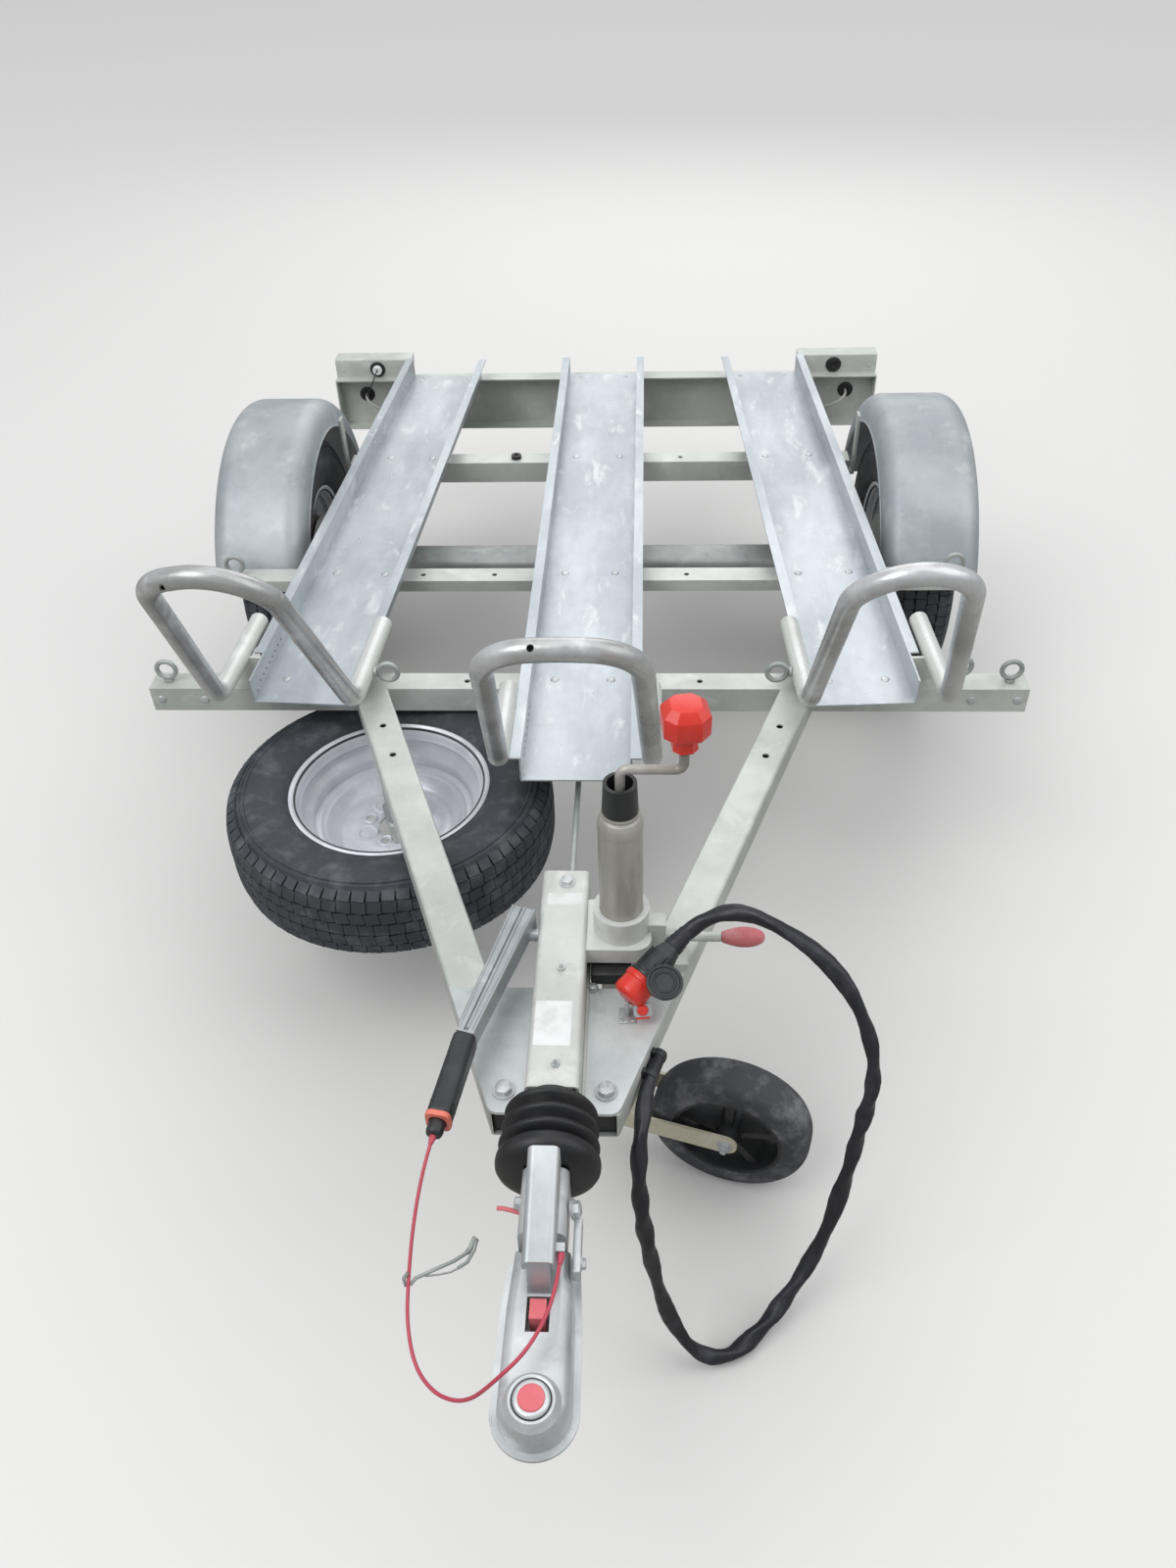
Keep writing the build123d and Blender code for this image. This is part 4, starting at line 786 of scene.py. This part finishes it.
# dark sheets in the drawbar's open ends, painted shade for the hollow tubes
for side in (-1, 1):
    x0, x1 = sorted(side * x for x in couplingSizes["tubeEnd"])
    block(bm, (x0, -1006.5, 424), (x1, -1003, 466), 1)
keep(bm, "painted_shade_pieces", "blackRubber", sharp=40)
bm = bmesh.new()
lathe(bm, [(14.5, 9), (14.3, 12.8), (13.3, 13.8), (0, 14.4)], bossPlace, 40)
pinRoute = ((-24, -1167, 500), (-38, -1163, 500.5), (-50, -1160, 500), (-56, -1159.5, 499))
tubeAlong(bm, [at(*p) for p in pinRoute], couplingSizes["pin"], 12)
keep(bm, "indicator_cap", "pinkRed", sharp=40)
couplingBolts = (
    # point, outward, radius, across
    ((33, -1167, 513), (1, 0, 0.25), 9, (0, 1, 0)),
    ((-28, -1161, 513), (-1, 0, 0.25), 7, (0, 1, 0)),
    ((44, -1225, 499), (1, 0, 0), 6, (0, 1, 0)),
    ((43, -812, 476), (0, 0, 1), 6, (1, 0.5, 0)),
    ((-66, -981, 475), (0, 0, 1), 11, (1, 0.3, 0)),
    ((66, -981, 475), (0, 0, 1), 11, (1, -0.1, 0)),
    ((2, -662, 532), (0, 0, 1), 8.5, (1, 0.2, 0)),
)
repeat("coupling_bolts", "hex", couplingBolts, "zinc", scatter=0.9, seed=5)
rows = [(spot, (0, 0, 1), 5.5) for spot in ((2, -825, 532), (3, -981, 532))]
repeat("grease_nipples", "nipple", rows, "zinc", seed=3)

# Blank labels on the housing
bm = bmesh.new()
block(bm, (-24, -706, 531.8), (25, -683, 532.3), 0.15)
block(bm, (-28, -952, 531.8), (20, -880, 532.3), 0.15)
keep(bm, "blank_labels", "paleLabel", sharp=40)

# Handbrake: grip of a rounded section with a button, ridges on the lever and a red ring
gripSizes = {"width": 30, "height": 33, "bands": (18, 104)}
gripPlace = placeAt((-114, -940, 530), (-20, -120, -2), (-120, 20, 0))
leverSizes = {"rear": (-55, -730, 550.2), "tip": (-113, -936, 544.2), "rearHalf": 15.6, "tipHalf": 10.4}
# each ridge is (share of the half width, radius)
leverRidges = ((-1, 2.4), (0.12, 2.8), (1, 2.4))


def roundedRings(bm, rows, place, corners=8):
    # rows of (height, width, depth, corner radius) joined into a closed body
    rings = []
    for z, width, depth, radius in rows:
        ring = []
        for quarter, (sx, sy) in enumerate(((1, 1), (-1, 1), (-1, -1), (1, -1))):
            for i in range(corners + 1):
                a = radians(90 * quarter + 90 * i / corners)
                x = sx * (width / 2 - radius) + radius * cos(a)
                y = sy * (depth / 2 - radius) + radius * sin(a)
                ring.append(bm.verts.new(place @ (Vector((x, y, z)) * 0.001)))
        rings.append(ring)
    joinRings(bm, rings)
    bm.faces.new(rings[0])
    bm.faces.new(rings[-1])


bm = bmesh.new()
w, h = gripSizes["width"], gripSizes["height"]
roundedRings(bm, [(3, w - 4, h - 4, 6), (4, w - 1, h - 1, 7.5), (7, w, h, 8), (60, w, h, 8), (112, w, h, 8),
                  (119, w, h, 8), (120, w - 2, h - 2, 7)], gripPlace)
for z in gripSizes["bands"]:
    roundedRings(bm, [(z, w + 0.3, h + 0.3, 8), (z + 0.5, w + 0.7, h + 0.7, 8.2),
                      (z + 1.5, w + 0.7, h + 0.7, 8.2), (z + 2, w + 0.3, h + 0.3, 8)], gripPlace)
lathe(bm, [(9.4, 126.5), (10.6, 127), (10.8, 140), (9.6, 144), (6.4, 145.8), (0, 146.4)], gripPlace, 32)
keep(bm, "handbrake_handle", "blackPlastic", sharp=45, replaced=("handbrake_grip",))
bm = bmesh.new()
rear, tip = Vector(leverSizes["rear"]), Vector(leverSizes["tip"])
leverSide = Vector((-(tip - rear).y, (tip - rear).x, 0)).normalized()
for share, thick in leverRidges:
    start = rear + leverSide * leverSizes["rearHalf"] * share
    end = tip + leverSide * leverSizes["tipHalf"] * share
    tubeAlong(bm, [at(*(start + (end - start) * t)) for t in (0, 0.02, 0.5, 0.98, 1)], thick, 12)
keep(bm, "lever_ridges", "bright", sharp=60)
bm = bmesh.new()
roundedRings(bm, [(120, w - 1, h - 1, 7), (120.4, w + 1.6, h + 1.6, 9), (125, w + 1.8, h + 1.8, 9),
                  (127, w + 0.6, h + 0.6, 8.4), (127.1, 23, 23, 10.5), (122.5, 21, 21, 9.5)], gripPlace)
keep(bm, "handbrake_ring", "orangeTrim", sharp=45, replaced=("handbrake_trim",))

# Jockey wheel: crank knob, column shoulder, clamp handle, axle nuts, tyre and core
jockeySizes = {"x": 82, "y": -740, "shoulder": 700, "crankX": 162, "crankZ": 849, "turn": -16, "trail": 178,
               "radius": 127, "nuts": 46.2, "halfTyre": 35, "spokes": 5, "halfSpoke": 24}
knobPlace = placeAt((jockeySizes["crankX"], jockeySizes["y"], jockeySizes["crankZ"]), (0, 0, 1), (1, 0.15, 0))
# square rings of (height, width, corner radius)
knobRings = ((0, 30, 8), (0.8, 32, 8.5), (5, 31, 8.5), (15.5, 30, 8), (18, 32, 8.5), (26.5, 54, 12.5),
             (28.5, 57, 13), (30, 58, 13.5), (55, 58, 13.5), (57, 56.5, 13), (66, 41, 9.5), (67.4, 38, 9),
             (68, 34, 8))
bm = bmesh.new()
roundedRings(bm, [(z, width, width, corner) for z, width, corner in knobRings], knobPlace, 1)
keep(bm, "crank_knob", "redPlastic", sharp=22, replaced=("jockey_knob",))
columnPlace = placeAt((jockeySizes["x"], jockeySizes["y"], jockeySizes["shoulder"]))
shoulder = smoothProfile([(29.6, 12), (30.6, 14), (30.6, 24), (28.4, 33), (25.2, 38.5), (23, 39)], 3)
bm = bmesh.new()
lathe(bm, [(7.5, -0.5), (10.5, -0.5), (10.5, 1.5), (7, 2.5)],
      placeAt((jockeySizes["crankX"], jockeySizes["y"], jockeySizes["crankZ"] - 2.5)), 24)
lathe(bm, shoulder + [(22.6, 39), (28, 20), (28, 12)], columnPlace, 48, True)
lathe(bm, [(22.8, 41.5), (25, 41.8), (25.4, 43.4), (24.8, 44.8), (22.8, 45)], columnPlace, 48, True)
keep(bm, "column_shoulder", "column", sharp=60)
handle = [(0, 0), (6.5, 0), (9, 4), (13.6, 20), (15, 34), (12.8, 50), (7, 60.5), (0, 62)]
bm = bmesh.new()
lathe(bm, smoothProfile(handle, 4), placeAt((222, jockeySizes["y"], 505), (1, 0, 0), (0, 0, 1)), 32)
keep(bm, "clamp_handle", "fadedRed", sharp=50, replaced=("clamp_grip",))
turnJockey = radians(jockeySizes["turn"])
jockeyAhead = Vector((cos(turnJockey), sin(turnJockey), 0))
jockeySide = Vector((-sin(turnJockey), cos(turnJockey), 0))
wheelMiddle = Vector((jockeySizes["x"], jockeySizes["y"], jockeySizes["radius"]))
wheelMiddle += jockeyAhead * jockeySizes["trail"]
rows = []
for side in (-1, 1):
    outward = jockeySide * side
    rows.append((tuple(wheelMiddle + outward * jockeySizes["nuts"]), tuple(outward), 9, (0.2, 0, 1)))
repeat("jockey_axle_nuts", "nut", rows, "zinc", "jockey_fork", 1, 9)
wheelPlace = placeAt(tuple(wheelMiddle), tuple(jockeySide), (0, 0, 1))
half = jockeySizes["halfTyre"]
crown = smoothProfile([(87, half - 1.5), (92, half - 0.2), (106, half), (120, half - 3.5),
                       (126.2, half - 16), (127, half - 26), (127, 0)], 4)
bm = bmesh.new()
lathe(bm, mirrored(crown), wheelPlace, 88, True)
keep(bm, "jockey_tyre_body", "solidTyre", "jockey_wheel", 50, ("jockey_tyre",))
coreRim = [(87.3, 33), (84.5, 34), (81.5, 33), (79.5, 24), (79, 0)]
coreHub = [(8.2, 39.6), (15, 39.6), (17.6, 37.5), (19.5, 26), (21, 0)]
spoke = [(17, -7), (50, -5), (80.5, -9.5), (80.5, 9.5), (50, 5), (17, 7)]
bm = bmesh.new()
lathe(bm, mirrored(coreRim), wheelPlace, 64)
lathe(bm, mirrored(coreHub), wheelPlace, 40)
for i in range(jockeySizes["spokes"]):
    spokePlace = wheelPlace @ Matrix.Rotation(2 * pi * i / jockeySizes["spokes"], 4, "Z")
    prism(bm, spoke, -jockeySizes["halfSpoke"], jockeySizes["halfSpoke"], spokePlace, 1.5)
keep(bm, "jockey_core_body", "blackPlastic", "jockey_wheel", 40, ("jockey_core",))
print("coupling and jockey wheel")

# Plug in its parking socket: red socket with a sprung tab, black plug with a round cap, sleeve on the cable
plugSizes = {"start": (90, -856, 511), "reach": 34, "capAt": (140.6, -858, 545), "strap": 5}
socketAxis = Vector((2, 2, 1)).normalized()
socketStart = Vector(plugSizes["start"])
socketPlace = placeAt(tuple(socketStart), tuple(socketAxis), (0, 0, 1))
bm = bmesh.new()
lathe(bm, [(0, -1), (14, -1), (20.5, 1), (23.6, 5), (24, 8), (23, 25), (24.6, 26), (25, 28),
           (25, 33), (24, 34), (18, 34)], socketPlace, 48)
tabPlace = placeAt((112, -868, 500), (0.15, -0.75, 0.65), (1, 0, 0.1))
prism(bm, [(-9, -12), (9, -12), (11, -4), (9, 8), (-9, 8), (-11, -4)], -8, 2, tabPlace, 1.5)
keep(bm, "socket_shell", "redPlastic", sharp=45, replaced=("plug_socket",))
bm = bmesh.new()
block(bm, (88, -862, 474.8), (94, -850, 506), 1)
block(bm, (80, -872, 474.8), (104, -846, 477.2), 1)
roundedRings(bm, [(1.6, 25, 17, 4), (3, 25, 17, 4)], tabPlace, 4)
keep(bm, "socket_foot", "zinc", sharp=40)
repeat("socket_cap", "screw", (((112, -869.6, 502.2), (0.15, -0.75, 0.65), 7.5),), "redPlastic", seed=2)
rows = [((x, -867, 477), (0, 0, 1), 3.5) for x in (84.5, 99.5)]
repeat("socket_screws", "screw", rows, "zinc", seed=2)
plugStart = socketStart + socketAxis * plugSizes["reach"]
plugPlace = placeAt(tuple(plugStart), tuple(socketAxis), (0, 0, 1))
bm = bmesh.new()
lathe(bm, [(0, 0.2), (22.6, 0.2), (23.6, 1.5), (23.6, 7), (22.4, 9), (20.5, 10.5), (19.6, 24), (19, 38),
           (17.4, 46), (15.4, 50), (15, 54), (13.6, 56), (13.2, 62), (10, 63.5), (0, 63.5)], plugPlace, 40)
for angle in (45, 135, 225, 315):
    block(bm, (17, -2, 11), (21.6, 2, 40), 0.8, plugPlace @ Matrix.Rotation(radians(angle), 4, "Z"))
capPlace = placeAt(plugSizes["capAt"], (0.10, -0.32, 1), (1, 0, 0))
lathe(bm, [(0, -3), (22, -3), (24.6, -1), (25, 1.5), (24.6, 3.6), (23.2, 4.4), (21, 4.2), (19.6, 2.4),
           (16.4, 2.2), (15, 3.4), (13.4, 3.4), (12, 2), (0, 1.8)], capPlace, 48)
plugBody = keep(bm, "plug_body", "blackPlastic", sharp=40, replaced=("cable_plug",))
bm = bmesh.new()
# the cap's strap back to the plug
capStrap = ((136, -846, 543), (134, -838, 545), (131, -828, 544))
tubeAlong(bm, [at(*p) for p in capStrap], plugSizes["strap"], 12)
# a sleeve in steps that leads the cable into the plug
sleeveWay = (Vector(mainRoute[1]) - Vector(mainRoute[0])).normalized()
sleeveSteps = [Vector(mainRoute[0]) + sleeveWay * d for d in (-3, 4, 10, 18, 26)]
for a, b, thick in zip(sleeveSteps, sleeveSteps[1:], (14.2, 13.4, 12.4, 11.2)):
    tubeAlong(bm, [at(*a), at(*((a + b) / 2)), at(*b)], thick, 20)
plugSleeve = keep(bm, "plug_sleeve", "wrap", sharp=60)


def splinePoints(points, spacing):
    # even points along the route's NURBS spline
    guide = nurbs("guide", points, 0, materials["wrap"], 16)
    bpy.context.view_layer.update()
    line = bpy.data.meshes.new_from_object(guide)
    raw = [v.co.copy() for v in line.vertices]
    bpy.data.objects.remove(guide)
    made, walked, wanted = [raw[0]], 0, spacing
    for a, b in zip(raw, raw[1:]):
        step = (b - a).length
        while step > 0 and walked + step >= wanted:
            made.append(a + (b - a) * ((wanted - walked) / step))
            wanted += spacing
        walked += step
    if (made[-1] - raw[-1]).length > 0.2 * spacing:
        made.append(raw[-1])
    return made


sleeveSizes = {"wide": 12.2, "narrow": 9.2, "end": 9.4, "turn": 172, "tape": 27, "spacing": 0.0034,
               "steps": 24}
cablePath = splinePoints(mainRoute, sleeveSizes["spacing"])
bm = bmesh.new()
across = Vector((0, 0, 1))
rings = []
steps = sleeveSizes["steps"]
for i, spot in enumerate(cablePath):
    way = (cablePath[min(i + 1, len(cablePath) - 1)] - cablePath[max(i - 1, 0)]).normalized()
    across = (across - way * across.dot(way)).normalized()
    third = way.cross(across)
    run = i * sleeveSizes["spacing"] * 1000
    nearEnd = min(1, run / 60, (len(cablePath) - 1 - i) * sleeveSizes["spacing"] * 1000 / 130)
    twist = 2 * pi * run / sleeveSizes["turn"] + 1.1 * sin(run / 71) + 0.9 * sin(run / 131 + 2)
    swell = 1 + nearEnd * (0.055 * sin(run / 33 + sin(run / 90)) + 0.05 * sin(run / 113 + 1))
    ring = []
    for k in range(steps):
        a = 2 * pi * k / steps
        wide = sleeveSizes["end"] + (sleeveSizes["wide"] - sleeveSizes["end"]) * nearEnd
        narrow = sleeveSizes["end"] + (sleeveSizes["narrow"] - sleeveSizes["end"]) * nearEnd
        size = wide * narrow / hypot(narrow * cos(a - twist), wide * sin(a - twist))
        # each turn of tape ends in a small step
        lap = (run / sleeveSizes["tape"] + a / (2 * pi)) % 1
        size = (size + nearEnd * 0.6 * (lap if lap < 0.88 else (1 - lap) * 7.3)) * swell - 0.4 * nearEnd
        ring.append(bm.verts.new(spot + (across * cos(a) + third * sin(a)) * size * 0.001))
    rings.append(ring)
joinRings(bm, rings)
bm.faces.new(rings[0])
bm.faces.new(rings[-1])
mainCable = keep(bm, "cable_loom", "wrap", sharp=60, replaced=("main_cable",))
# two clips hold the cable's end to the drawbar
bm = bmesh.new()
for y in (-934, -902):
    x = 136.4 + (y + 896) * 0.375
    ringPlace = placeAt((x, y, 445.6), (0.35, 0.93, 0.02), (0, 0, 1))
    lathe(bm, [(9, -4), (10.6, -4), (10.8, 0), (10.6, 4), (9, 4)], ringPlace, 28)
    block(bm, (x - 12.5, y - 4, 444), (x - 5, y + 4, 460), 0.8)
keep(bm, "cable_clips", "blackPlastic", sharp=40)

breakRoute = (
    (-137.84, -1083.01, 527.62), (-142.11, -1108.65, 527.19), (-149, -1150, 509), (-152.5, -1190, 489),
    (-153, -1229, 469), (-151, -1273, 450), (-137, -1317, 440), (-113, -1344, 441),
    (-88, -1357, 451), (-67, -1363, 472), (-50, -1363, 497), (-31, -1357, 520),
    (-11, -1342, 530), (5, -1318, 534), (16, -1291, 536), (22, -1260.3, 537.3),
    (24, -1234.3, 537.3))
breakSizes = {"radius": 2.2, "length": 0.551}
# wire hook threaded on the breakaway cable
hookWire = [(-153.5, -1228, 475), (-158, -1232, 470), (-156, -1237, 464), (-150, -1234, 462),
            (-146, -1228, 463), (-128, -1216, 459), (-106, -1201, 453), (-92, -1188, 449),
            (-89, -1181, 447), (-87, -1173, 447), (-86, -1170, 448), (-83, -1174, 449),
            (-84.5, -1185, 449), (-91, -1200, 449), (-101, -1208, 450)]
bm = bmesh.new()
tubeAlong(bm, [at(*p) for p in hookWire], 2.2, 12)
hookTail = ((-98, -1206.5, 450), (-108, -1214, 452), (-122, -1219, 455), (-136, -1223, 459))
tubeAlong(bm, [at(*p) for p in hookTail], 1.2, 8)
tubeAlong(bm, [at(*p) for p in hookWire[7:12]], 3.4, 14)
wireHook = keep(bm, "wire_hook", "under", sharp=60)
keepCord("breakaway_cord", breakRoute, breakSizes["radius"], "redCable",
         ("breakaway_cable",))
# crimps where the cord leaves the button and where it meets the coupling handle
bm = bmesh.new()
for end, other in ((breakRoute[0], breakRoute[1]), (breakRoute[-1], breakRoute[-2])):
    way = Vector(other) - Vector(end)
    lathe(bm, [(0, -1.5), (4.2, -1.5), (4.2, 4), (3.4, 9), (2.7, 12), (0, 12)], placeAt(end, tuple(way)), 20)
keep(bm, "cord_crimps", "redCable", sharp=50)
print("cables")

# Lamps: red and amber sections under the deep fold of their plates, and triangular reflectors on the beam
lampSizes = {"middle": 629.5, "half": 95, "low": 457, "high": 513, "front": 1356, "rear": 1389.5, "base": 11,
             "inset": 4}
lampSections = (("redLens", -95, -30), ("redLens", -28.5, 30), ("amberLens", 31.5, 95))
plateSizes = {"half": 105.5, "front": 1341, "rear": 1390, "low": 470, "high": 517, "thick": 3}
baseRear = lampSizes["front"] + lampSizes["base"]
lensLow, lensHigh = lampSizes["low"] + lampSizes["inset"], lampSizes["high"] - lampSizes["inset"]
front, rear, thick = plateSizes["front"], plateSizes["rear"], plateSizes["thick"]
low, high = plateSizes["low"], plateSizes["high"]
# sections of the sheet and of its end walls, as (y, z) pairs
sheetSection = [(front, low), (front, high - 4), (front + 1.2, high - 1.2), (front + 4, high), (rear, high),
                (rear, high - thick), (front + 4.4, high - thick), (front + thick, high - 4.4),
                (front + thick, low)]
wallSection = [(front + thick, low), (front + thick, high - thick), (rear - 2, high - thick),
               (lampSizes["front"], low)]
alongX = placeAt((0, 0, 0), (1, 0, 0), (0, 1, 0))
sheets = bmesh.new()
for side, name in ((-1, "left"), (1, "right")):
    middle = side * lampSizes["middle"]
    for i, (finish, inner, outer) in enumerate(lampSections):
        bm = bmesh.new()
        x0, x1 = sorted((middle + side * inner, middle + side * outer))
        block(bm, (x0, baseRear - 1, lensLow), (x1, lampSizes["rear"], lensHigh), 4, None, 3)
        keep(bm, f"lens_{name}_{i}", finish, sharp=40)
    bm = bmesh.new()
    x0, x1 = middle - lampSizes["half"], middle + lampSizes["half"]
    block(bm, (x0, lampSizes["front"], lampSizes["low"]), (x1, baseRear, lampSizes["high"]), 3)
    keep(bm, "lamp_base_" + name, "blackPlastic", sharp=40, replaced=("tail_lamps",) if side < 0 else ())
    x0, x1 = middle - plateSizes["half"], middle + plateSizes["half"]
    prism(sheets, sheetSection, x0, x1, alongX)
    for x in (x0, x1 - thick):
        prism(sheets, wallSection, x, x + thick, alongX)
keep(sheets, "lamp_plate_sheets", "frame", sharp=40, replaced=("lamp_plates",))
bm = bmesh.new()
for side in (-1, 1):
    # the place's Y points down
    place = placeAt((side * 560, 1356.5, 400), (0, 1, 0), (1, 0, 0))
    prism(bm, [(-42, 34), (42, 34), (0, -40)], -1, 6, place, 2.5)
keep(bm, "rear_reflectors", "redLens", sharp=40)

# The beam's unused cable holes closed flush with its web
bm = bmesh.new()
for side in (-1, 1):
    place = placeAt((side * 613, 1356, 425), (0, 1, 0), (1, 0, 0))
    lathe(bm, [(0, -3), (13.05, -3), (13.05, 0), (0, 0)], place, 48)
keep(bm, "beam_hole_blanks", "frame", sharp=40)

# Grommets in the lamp plates and the beam, the right plate's one closed, and the lamp cables
grommetSpots = {"plate": (620, 1341, 490.5), "beam": (661, 1353, 416)}
grommet = [(18.5, -3.6), (20.4, -2.4), (20.8, -0.4), (15, -0.2), (14.8, 2.6), (6.5, 2.8), (4.2, 2),
           (4.2, -1.5), (6.5, -4), (14, -4.4)]
bm = bmesh.new()
for side in (-1, 1):
    for where, (x, y, z) in grommetSpots.items():
        place = placeAt((side * x, y, z), (0, 1, 0), (1, 0, 0))
        lathe(bm, grommet, place, 32, True)
        if side > 0 and where == "plate":
            lathe(bm, [(0, -3), (4.6, -3.2), (4.6, 2), (0, 2)], place, 24)
keep(bm, "grommets", "blackRubber", sharp=40)
lampCableSizes = {"radius": 3.8, "length": 0.198, "stiffness": "stiff"}
lampRoute = ((661, 1352, 416), (661, 1338, 415), (657, 1326, 409), (642, 1318, 398), (616, 1318, 386),
             (586, 1321, 375), (552, 1328, 365), (524, 1337, 357), (504, 1350, 352))
for side, name in ((-1, "left"), (1, "right")):
    route = [(side * x, y, z) for x, y, z in lampRoute]
    keepCord("lamp_cable_" + name, route, lampCableSizes["radius"], "greyCable")
lampWireSizes = {"radius": 1.6, "length": 0.128, "stiffness": "medium"}
wireRoute = ((-620, 1331, 490), (-621, 1318, 489), (-624, 1307, 483), (-629, 1303, 472), (-637, 1303, 457),
             (-646, 1307, 441), (-654, 1318, 426), (-659, 1336, 419), (-660, 1351, 418))
keepCord("lamp_wire", wireRoute, lampWireSizes["radius"], "blackPlastic")
bm = bmesh.new()
connector = placeAt((-620, 1340, 490), (0, -1, 0), (1, 0, 0))
lathe(bm, [(0, 0), (10, 0), (12.6, 1.5), (12.6, 9), (11.4, 10.6), (5, 10.6), (4, 8), (0, 8)], connector, 32)
keep(bm, "lamp_connector", "whitePlastic", sharp=40)
print("lamps")

# Rolled edges of the mudguards
guardSizes = {"middle": (715, 667, 289), "edge": 314, "half": 99, "from": 6.6, "to": 158.9, "bead": 3}
guardX, guardY, guardZ = guardSizes["middle"]
bm = bmesh.new()
for side in (-1, 1):
    for edge in (-1, 1):
        middle = (side * guardX + edge * guardSizes["half"], guardY, guardZ)
        line = arcPoints(middle, guardSizes["edge"], guardSizes["from"], guardSizes["to"], 64,
                         (0, 1, 0), (0, 0, 1))
        tubeAlong(bm, line, guardSizes["bead"], 8)
keep(bm, "guard_beads", "guard", sharp=60)

# Rail bolts, welds and rivets. Each rail has the place of its front end, and its splay in degrees.
railFronts = {"left": (-505, -154, -3.0006), "centre": (0, -365, 0), "right": (505, -154, 3.0006)}
railSizes = {"bed": 470, "bars": (-81, 296, 835), "rearBar": 1318}


def onRail(name, x, y, z):
    # the point that lies x across a rail, y behind its front end and z above the bed
    frontX, frontY, splay = railFronts[name]
    place = Matrix.Translation((frontX * 0.001, (frontY + shiftY) * 0.001, railSizes["bed"] * 0.001))
    spot = place @ Matrix.Rotation(radians(splay), 4, "Z") @ (Vector((x, y, z)) * 0.001)
    return (spot.x * 1000, spot.y * 1000 - shiftY, spot.z * 1000)


rows = []
for name, (frontX, frontY, splay) in railFronts.items():
    for barY in railSizes["bars"]:
        rows += [(onRail(name, x, barY - frontY, 3), (0, 0, 1), 8) for x in (-52, 52)]
    rows += [(onRail(name, x, railSizes["rearBar"] - frontY, 3), (0, 0, 1), 6) for x in (-60, 60)]
repeat("rail_bolts", "dome", rows, "zinc", seed=4, sharp=60)


def weld(bm, start, end, radius=3.2):
    # a rippled bead along a straight line
    start, way = Vector(start), Vector(end) - Vector(start)
    steps = max(2, int(way.length / 3.2))
    tubeAlong(bm, [at(*(start + way * i / steps)) for i in range(steps + 1)], radius, 7, 0.35)


bm = bmesh.new()
for name, (frontX, frontY, splay) in railFronts.items():
    for x in (-93.5, 93.5):
        for barY in (-81, 835):
            weld(bm, onRail(name, x, barY - frontY - 22, 1), onRail(name, x, barY - frontY + 22, 1))
for side, name in ((-1, "left"), (1, "right")):
    for low, high in ((4, 60), (130, 188)):
        weld(bm, onRail(name, -side * 95, low, 46), onRail(name, -side * 95, high, 46), 3)
    for edgeY in (-106, -56):
        x = 51 + 0.376 * (edgeY + 1011)
        for top, bottom in ((x - 30, x - 32), (x + 33, x + 32)):
            weld(bm, (side * top, edgeY, 469), (side * bottom, edgeY, 424), 3.4)
    weld(bm, (side * 36, -1010, 476), (side * 36, -660, 476), 3)
keep(bm, "weld_beads", "frame", sharp=70)

# black dots for the small holes in the rail walls, painted shade standing for the dark hollows of the holes
holeShadows = [(onRail(name, -90.6, 44 + 19 * i, 20), (1, 0.05, 0), 2.4) for name in railFronts for i in range(8)]
repeat("wall_hole_shadows", "dome", holeShadows, "blackRubber", seed=2, sharp=60)
rows = [(onRail(name, -90.6, 24, 14), (1, 0.05, 0), 5) for name in railFronts]
rows += [((side * x, 1341, 486), (0, -1, 0), 4) for side in (-1, 1) for x in (545, 715)]
rows += [((side * x, -106, 445), (0, -1, 0), 8.4) for side in (-1, 1) for x in (707, 790)]
repeat("small_rivets", "dome", rows, "zinc", seed=6, sharp=60)
rows = [((side * 470 + x, y, 390), (0, 0, -1), 7) for side in (-1, 1) for x in (-22, 22) for y in (500, 552)]
repeat("under_bolts", "nut", rows, "zinc", seed=8)
print("small pieces")


# Floor and light. The floor grows paler with distance, so that the ground behind the object stays even.
floorSizes = {"size": 60, "height": -0.0005, "nearEdge": 1.2, "farEdge": 9.0}
floorColours = {"near": (0.66, 0.65, 0.63), "far": (0.98, 0.95, 0.91), "bounced": (0.36, 0.35, 0.33)}
material, tree, shader = newMaterial("floor_colour", 0.0, 0.9, 0.1)
distance = node(tree, "ShaderNodeVectorMath", operation="LENGTH")
link(tree, objectPoint(tree), distance.inputs[0])
share = ramp(tree, distance.outputs["Value"], floorSizes["nearEdge"], floorSizes["farEdge"], 0.0, 1.0, True)
seen = blendColour(tree, share, floorColours["near"], floorColours["far"])
direct = node(tree, "ShaderNodeLightPath").outputs["Is Camera Ray"]
link(tree, blendColour(tree, direct, floorColours["bounced"], seen), shader.inputs["Base Color"])
bpy.ops.mesh.primitive_plane_add(size=floorSizes["size"], location=(0, 0, floorSizes["height"]))
floor = bpy.context.object
floor.name = "floor"
floor.data.materials.append(material)

lightTarget = Vector((0, 0, 0.4))
lightRows = (
    # name, place, size in metres, power in watts
    ("key_light", (-2.6, -2.4, 4.6), 3.2, 130),
    ("fill_light", (3.4, -1.0, 3.6), 3.6, 60),
    ("back_light", (0.4, 4.2, 3.4), 3.6, 60),
    ("top_light", (0.0, 0.2, 5.4), 4.6, 70),
)
for name, place, size, power in lightRows:
    data = bpy.data.lights.new(name, "AREA")
    data.size = size
    data.energy = power
    light = bpy.data.objects.new(name, data)
    light.location = place
    light.rotation_euler = (lightTarget - Vector(place)).to_track_quat("-Z", "Y").to_euler()
    scene.collection.objects.link(light)
world = bpy.data.worlds.new("studio")
scene.world = world
world.use_nodes = True
background = world.node_tree.nodes["Background"]
background.inputs["Color"].default_value = (0.92, 0.95, 1.0, 1)
background.inputs["Strength"].default_value = 0.66
scene.view_settings.view_transform = "Standard"
print("floor and light")
